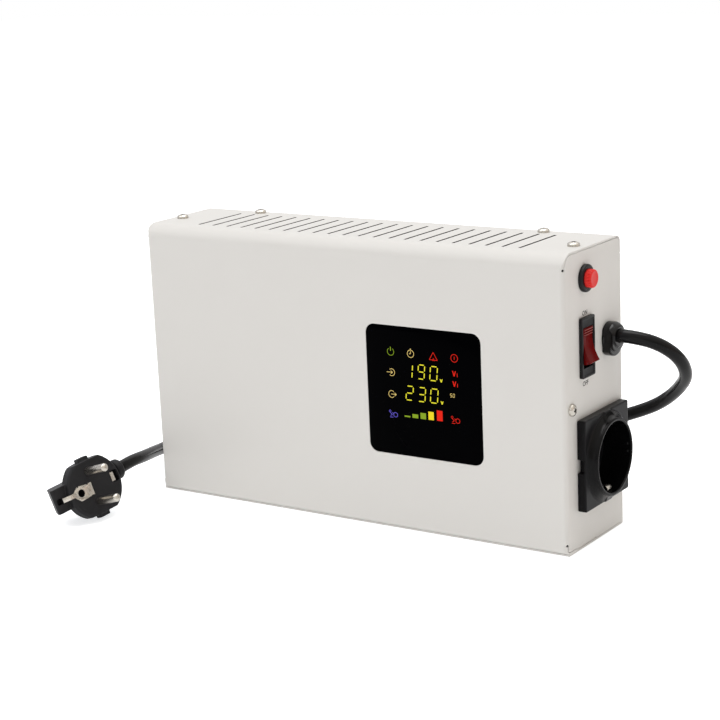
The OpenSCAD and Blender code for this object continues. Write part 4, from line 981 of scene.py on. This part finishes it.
class STABILIZER_OT_screws(bpy.types.Operator):
    """Build the pan-head screws with their cross recesses"""

    bl_idname = "stabilizer.screws"
    bl_label = "Screws"

    def execute(self, context):
        r, = sizes_mm("screw_radius")
        low, high, _ = box_mm("top_screws")
        outer = high.x - r
        inner = outer - 35.1
        self.set_of("top_screw_set", "top_screws", [
            shift(s * x, y, TOP_Z) @ spin(turn, "Z")
            for x, y in ((outer, low.y + r), (inner, high.y - r)) for s, turn in ((-1, 20), (1, 62))
        ])
        middle = box_mm("side_screws")[2]
        self.set_of("side_screw_set", "side_screws", [
            shift(s * WALL_X, middle.y, middle.z) @ spin(s * 90, "Y") @ spin(turn, "Z")
            for s, turn in ((-1, 40), (1, 12))
        ])
        return {"FINISHED"}

    def set_of(self, name, node, places):
        """One screw with a domed head, copied to every place. Its recess is painted dark: painted shade."""
        r, tall = sizes_mm("screw_radius", "screw_height")
        r, brim, arm, deep = r - 0.45, 0.8, 1.9, tall - 1.9
        dome = [
            (r * cos(a) ** 0.8, brim + (tall - brim) * sin(a))
            for a in (pi / 2 * k / 8 for k in range(1, 8))
        ]
        screw = new_piece(name, moved(turned([
            (0, -4), (1.1, -4), (1.5, -3.4), (1.5, 0), (r, 0), (r, 0.45), (r - 0.12, brim), *dome,
            (0, tall),
        ], 64), spin(-90, "Y")))
        cross = []
        for turn in (0, 90):
            points, faces = prism(bar(-arm, -0.5, arm, 0.5), deep, 4, "Z")
            points[:4] = [(0.55 * x, y, z) for x, y, z in points[:4]]
            cross.append(moved((points, faces), spin(turn, "Z")))
        carve(screw, cuts=cross)
        bevelled(screw, 0.09, 2, 32)
        one = screw.data
        # The faces inside the cross recess are marked for the darker nickel: painted shade.
        marks = []
        for face in one.polygons:
            x, y, z = face.center / MM
            out = min(1, hypot(x, y) / r)
            crown = brim + (tall - brim) * sqrt(1 - out ** 2.5)
            marks.append(z > tall - 2 and out < 0.7 and z < crown - 0.22)
        mesh = bmesh.new()
        for at in places:
            copy = one.copy()
            copy.transform(in_metres(at))
            mesh.from_mesh(copy)
            bpy.data.meshes.remove(copy)
        mesh.to_mesh(one)
        mesh.free()
        dress(screw, "nickel_steel", second="recess", marks=marks * len(places))
        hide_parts(node)


# Display signs: each is a list of outlines on the window, as (across, up) in millimetres


def bar(x0, z0, x1, z1):
    return [(x0, z0), (x1, z0), (x1, z1), (x0, z1)]


def stroke(x0, z0, x1, z1, width=0.34, tip=0.1):
    """A straight light bar with pointed ends."""
    a, b = Vector((x0, z0)), Vector((x1, z1))
    along = (b - a).normalized()
    across = Vector((-along.y, along.x)) * width / 2
    along *= tip
    ring = (
        a, a + along - across, b - along - across, b, b - along + across, a + along + across
    )
    return [tuple(p) for p in ring]


def chevron(x, z, wide, tall, width):
    """A V from its lower left corner."""
    half, top = wide / 2, z + tall
    return [(x, top), (x + half - width / 2, z), (x + half + width / 2, z), (x + wide, top),
            (x + wide - width, top), (x + half, z + 1.6 * width), (x + width, top)]


def arc(x, z, radius, start, end, width=0.32):
    """Part of a ring as short light bars that meet."""
    count = max(6, round(abs(end - start) / 15))
    out = []
    for k in range(count):
        a, b = (radians(start + (end - start) * (k + i) / count) for i in (0, 1))
        out.append([
            (x + (radius + s * width / 2) * cos(t), z + (radius + s * width / 2) * sin(t))
            for t, s in ((a, -1), (b, -1), (b, 1), (a, 1))
        ])
    return out


def digit(segments, x, z, wide, tall, width, gap=0.45, lean=0.1):
    """One seven-segment digit from its lower left corner, leaning to the right."""
    ends = {
        "a": ((0, 2), (1, 2)), "b": ((1, 2), (1, 1)), "c": ((1, 1), (1, 0)), "d": ((1, 0), (0, 0)),
        "e": ((0, 0), (0, 1)), "f": ((0, 1), (0, 2)), "g": ((0, 1), (1, 1)),
    }
    out = []
    for segment in segments:
        spots = [Vector((i * (wide - width) + width / 2, k * (tall - width) / 2 + width / 2))
                 for i, k in ends[segment]]
        along = (spots[1] - spots[0]).normalized() * gap
        spots = (spots[0] + along, spots[1] - along)
        a, b = (Vector((x + p.x + lean * p.y, z + p.y)) for p in spots)
        out.append(stroke(*a, *b, width, width / 2))
    return out


def arrow(x, z, start):
    """A shaft to the right with its head at (x, z)."""
    heads = [stroke(x - 1.2, z + s * 0.9, x, z) for s in (1, -1)]
    return [stroke(start, z, x - 0.1, z), *heads]


def readings(width):
    """The two readings, input above output, and the unit beside each."""
    out = []
    for segments, x, z, wide in (
        ("bc", 40.2, 89.1, 4.6), ("abcdfg", 48, 89.4, 4.7), ("abcdef", 55.8, 89.3, 5.1),
        ("abged", 39.8, 76.5, 5.0), ("abgcd", 47.8, 76.5, 5.0), ("abcdef", 55.7, 76.6, 5.2),
    ):
        out += digit(segments, x, z, wide, 8.6, width)
    return out + [chevron(x, z, 1.9, 1.8, 0.55) for x, z in ((62.6, 89.1), (62.7, 76.6))]


def amber_signs():
    """The delay clock, the input and output arrows, and the frequency."""
    out = arc(44.2, 103.4, 2.1, 0, 360) + [
        stroke(44.2, 103.3, 44.2, 104.9), stroke(44.2, 103.4, 43.2, 103.4),
        bar(43.9, 105.8, 44.5, 106.3),
    ]
    out += arc(31.3, 91.6, 2, -130, 130) + arrow(31.9, 91.6, 28)
    out += arc(30.8, 79, 2, 40, 320) + arrow(33.9, 79, 30.4)
    for segments, x in (("afgcd", 68.8), ("abcdef", 70.5)):
        out += digit(segments, x, 81.3, 1.3, 2.3, 0.3, 0.05)
    return out


def green_signs():
    """The power sign and the three low load bars."""
    return arc(31.1, 103.4, 2.1, 125, 415) + [
        stroke(31.1, 103.8, 31.1, 106.2, 0.5), bar(38.8, 66.8, 42.6, 67.6), bar(44, 66.8, 47.8, 69),
        bar(49.3, 66.8, 52.9, 70.3),
    ]


def red_signs():
    """The warning triangle, the fault sign, two voltage faults, the full load bar and sign."""
    corners = [(58.9, 105.6), (56.3, 101.3), (61.5, 101.3)]
    out = [stroke(*corners[i], *corners[(i + 1) % 3], 0.32) for i in range(3)]
    out += [chevron(58.2, 102, 1.4, -1.2, 0.35)]
    out += arc(72.3, 103.6, 2.15, 0, 360) + [stroke(72.3, 104.6, 72.3, 102.7)]
    for z in (93.4, 87.6):
        out += [chevron(70.7, z, 2.4, 3, 0.6), bar(73.7, z - 0.2, 74.05, z + 1.9)]
    return out + [bar(60, 67, 63.7, 72.9)] + load_sign(68.8, 66.7)


def load_sign(x, z):
    """A lamp beside a plug: the sign for a load."""
    out = arc(x + 4.6, z + 1.6, 1.3, 0, 360, 0.3) + arc(x + 1, z + 3.4, 0.6, 0, 360, 0.26)
    return out + [stroke(x + a, z + b, x + c, z + d, 0.32) for a, b, c, d in (
        (1.1, 2.6, 2.4, 1.5), (2.4, 1.5, 1.1, 0.8), (0.7, 0, 3, 0), (2.4, 2.7, 3.4, 2.2),
    )]


class STABILIZER_OT_display(bpy.types.Operator):
    """Build the window with its ground edge, and the lit digits and signs behind it"""

    bl_idname = "stabilizer.display"
    bl_label = "Display"

    def execute(self, context):
        rim, corner, segment = sizes_mm("window_rim", "window_corner", "segment_width")
        low, high, middle = box_mm("display_window")
        centre, size, skin = (middle.x, middle.z), high.x - low.x - 2 * rim, low.y + 1
        pane = new_piece(
            "window_pane", prism(rounded(size, size, corner, centre, 12), low.y, skin, "Y")
        )
        size += 2 * rim
        back = prism(rounded(size, size, corner + rim, centre, 12), skin, high.y, "Y")
        carve(pane, adds=[back])
        bevelled(pane, 0.18, 2)
        dress(pane, "window_glass")
        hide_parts("display_window")
        colours = context.scene.stabilizer_colours
        for name, colour, shapes in (
            ("lit_digits", colours.digits, readings(segment)),
            ("lit_amber", colours.amber, amber_signs()),
            ("lit_green", colours.green, green_signs()),
            ("lit_yellow", colours.yellow, [bar(54.5, 66.9, 58, 71.6)]),
            ("lit_red", colours.red, red_signs()),
            ("lit_blue", colours.blue, load_sign(28.3, 65.6)),
        ):
            light = new_piece(name, joined(*[
                prism(outline, FRONT_Y - 0.02, FRONT_Y + 0.3, "Y") for outline in shapes
            ]))
            self.glow(name + "_led", colour)
            dress(light, name + "_led")
        return {"FINISHED"}

    def glow(self, name, colour):
        """Light emitting segment behind smoked acrylic: it glows evenly in its own colour."""
        finish(name, name, [c * 0.02 for c in colour], 0.2, (2, 0.05), (0.5, 0.001), 0.04,
               specular=0.02, **{"Emission Color": (*colour, 1), "Emission Strength": 0.95})


class STABILIZER_OT_case(bpy.types.Operator):
    """Give every CAD piece that stays the finish of its slot in the record"""

    bl_idname = "stabilizer.case"
    bl_label = "Case and inner pieces"

    def execute(self, context):
        for name, node in frame["nodes"].items():
            look = FINISHES[SLOTS[name]]
            if not node.data.materials:
                node.data.materials.append(look)
            for slot in node.material_slots:
                slot.material = look
        self.shade_slot_walls(frame["nodes"]["housing_cover"])
        return {"FINISHED"}

    def shade_slot_walls(self, cover):
        """The walls of the vent slots are painted dark grey: painted shade inside the slots."""
        low, high, _ = box_mm("housing_cover")
        cover.data.materials.append(FINISHES["punched_edge"])
        for face in cover.data.polygons:
            spot = cover.matrix_world @ face.center / MM
            upright = abs(face.normal.z) < 0.5 and TOP_Z - 1.3 < spot.z < TOP_Z - 0.02
            if upright and abs(spot.x) < high.x - 12 and low.y + 9.5 < spot.y < high.y - 5:
                face.material_index = len(cover.data.materials) - 1


class STABILIZER_OT_stage(bpy.types.Operator):
    """Lay a white floor under soft studio light"""

    bl_idname = "stabilizer.stage"
    bl_label = "Stage"

    def execute(self, context):
        scene = context.scene
        scene.view_settings.view_transform = "Standard"
        reach, level = 4000, -0.3
        corners = [(x * reach, y * reach, level) for x, y in ((-1, -1), (1, -1), (1, 1), (-1, 1))]
        ground = new_piece("floor", (corners, [[0, 1, 2, 3]]))
        ground.data.materials.append(self.paper())
        scene.world = bpy.data.worlds.new("studio")
        tree = emptied(scene.world)
        rays = add_node(tree, "LightPath").outputs
        seen = add_node(
            tree, "Math", {0: rays["Is Camera Ray"], 1: rays["Is Transmission Ray"]},
            operation="MAXIMUM",
        ).outputs[0]
        way = add_node(tree, "TexCoord").outputs["Generated"]
        way = add_node(tree, "SeparateXYZ", {0: way}).outputs
        # Reflections see a room that is brightest overhead and dim along its walls.
        room = ramp(tree, way[2], 0.35, 1.2, -0.1, 0.7)
        # Soft light comes from the left, a warmer and weaker one from the right.
        fill = ramp(tree, way[0], 0.61, 0.49, -1.0, 1.0)
        side = ramp(tree, way[0], 0.0, 1.0, -1.0, 1.0)
        tint = mix(tree, side, (1, 1.01, 1.06, 1), (1, 0.95, 0.87, 1))
        strength = ramp(tree, rays["Is Glossy Ray"], fill, room)
        strength = ramp(tree, seen, strength, 1.0)
        tint = mix(tree, seen, tint, (1, 1, 1, 1))
        sky = add_node(tree, "Background", {"Color": tint, "Strength": strength})
        add_node(tree, "OutputWorld", {"Surface": sky.outputs[0]})
        for name, place, size, power, colour in (
            ("key_softbox", (-0.9, -1.3, 1.7), 1.1, 10.5, (1, 1, 1)),
            ("top_softbox", (0.1, 0.2, 1.9), 1.2, 17.5, (1, 1, 1)),
            ("side_reflector", (1.3, 0.25, 0.25), 0.7, 0.5, (1, 0.6, 0.45)),
            ("low_reflector", (0.7, -1.0, 0.16), 0.5, 0.5, (1, 0.98, 0.96)),
        ):
            lamp = bpy.data.lights.new(name, "AREA")
            lamp.shape, lamp.size, lamp.energy, lamp.color = "SQUARE", size, power, colour
            light = placed(name, lamp)
            light.location = place
            aim = Vector((0, 0, 0.08)) - Vector(place)
            light.rotation_euler = aim.to_track_quat("-Z", "Y").to_euler()
        return {"FINISHED"}

    def paper(self):
        """Seamless studio paper: it burns out to white for the camera but keeps a shadow."""
        made = bpy.data.materials.new("seamless_paper_white")
        tree = emptied(made)
        seen = add_node(tree, "LightPath").outputs["Is Camera Ray"]
        fibre = add_node(tree, "TexNoise", {"Scale": per_mm(1.5)}).outputs[0]
        bump = add_node(tree, "Bump", {"Height": fibre, "Distance": 0.02 * MM}).outputs[0]
        matt = add_node(
            tree, "BsdfDiffuse", {"Color": (0.86, 0.86, 0.86, 1), "Normal": bump}
        )
        bright = add_node(
            tree, "Emission",
            {"Color": (0.97, 0.985, 1, 1), "Strength": ramp(tree, seen, 0.29, 0.7)},
        )
        both = add_node(tree, "AddShader", {0: matt.outputs[0], 1: bright.outputs[0]})
        add_node(tree, "OutputMaterial", {"Surface": both.outputs[0]})
        return made


OPERATORS = (
    STABILIZER_OT_camera, STABILIZER_OT_case, STABILIZER_OT_plug, STABILIZER_OT_cord,
    STABILIZER_OT_outlet, STABILIZER_OT_gland, STABILIZER_OT_switch, STABILIZER_OT_breaker,
    STABILIZER_OT_screws, STABILIZER_OT_display, STABILIZER_OT_stage,
)


class STABILIZER_PT_panel(bpy.types.Panel):
    """Lists the stabilizer's pieces, sizes and colours"""

    bl_idname = "STABILIZER_PT_panel"
    bl_label = "Voltage stabilizer"
    bl_space_type = "VIEW_3D"
    bl_region_type = "UI"
    bl_category = "Stabilizer"

    def draw(self, context):
        for operator in OPERATORS:
            self.layout.operator(operator.bl_idname)
        for group in (context.scene.stabilizer_sizes, context.scene.stabilizer_colours):
            box = self.layout.box()
            for name in group.bl_rna.properties.keys():
                if name not in ("rna_type", "name"):
                    box.prop(group, name)


CLASSES = (StabilizerSizes, StabilizerColours, *OPERATORS, STABILIZER_PT_panel)


def register():
    for cls in CLASSES:
        bpy.utils.register_class(cls)
    bpy.types.Scene.stabilizer_sizes = bpy.props.PointerProperty(type=StabilizerSizes)
    bpy.types.Scene.stabilizer_colours = bpy.props.PointerProperty(type=StabilizerColours)


def unregister():
    del bpy.types.Scene.stabilizer_sizes
    del bpy.types.Scene.stabilizer_colours
    for cls in reversed(CLASSES):
        bpy.utils.unregister_class(cls)


def main():
    register()
    make_finishes(bpy.context.scene.stabilizer_colours)
    for operator in OPERATORS:
        space, name = operator.bl_idname.split(".")
        getattr(getattr(bpy.ops, space), name)()


if __name__ == "__main__":
    main()
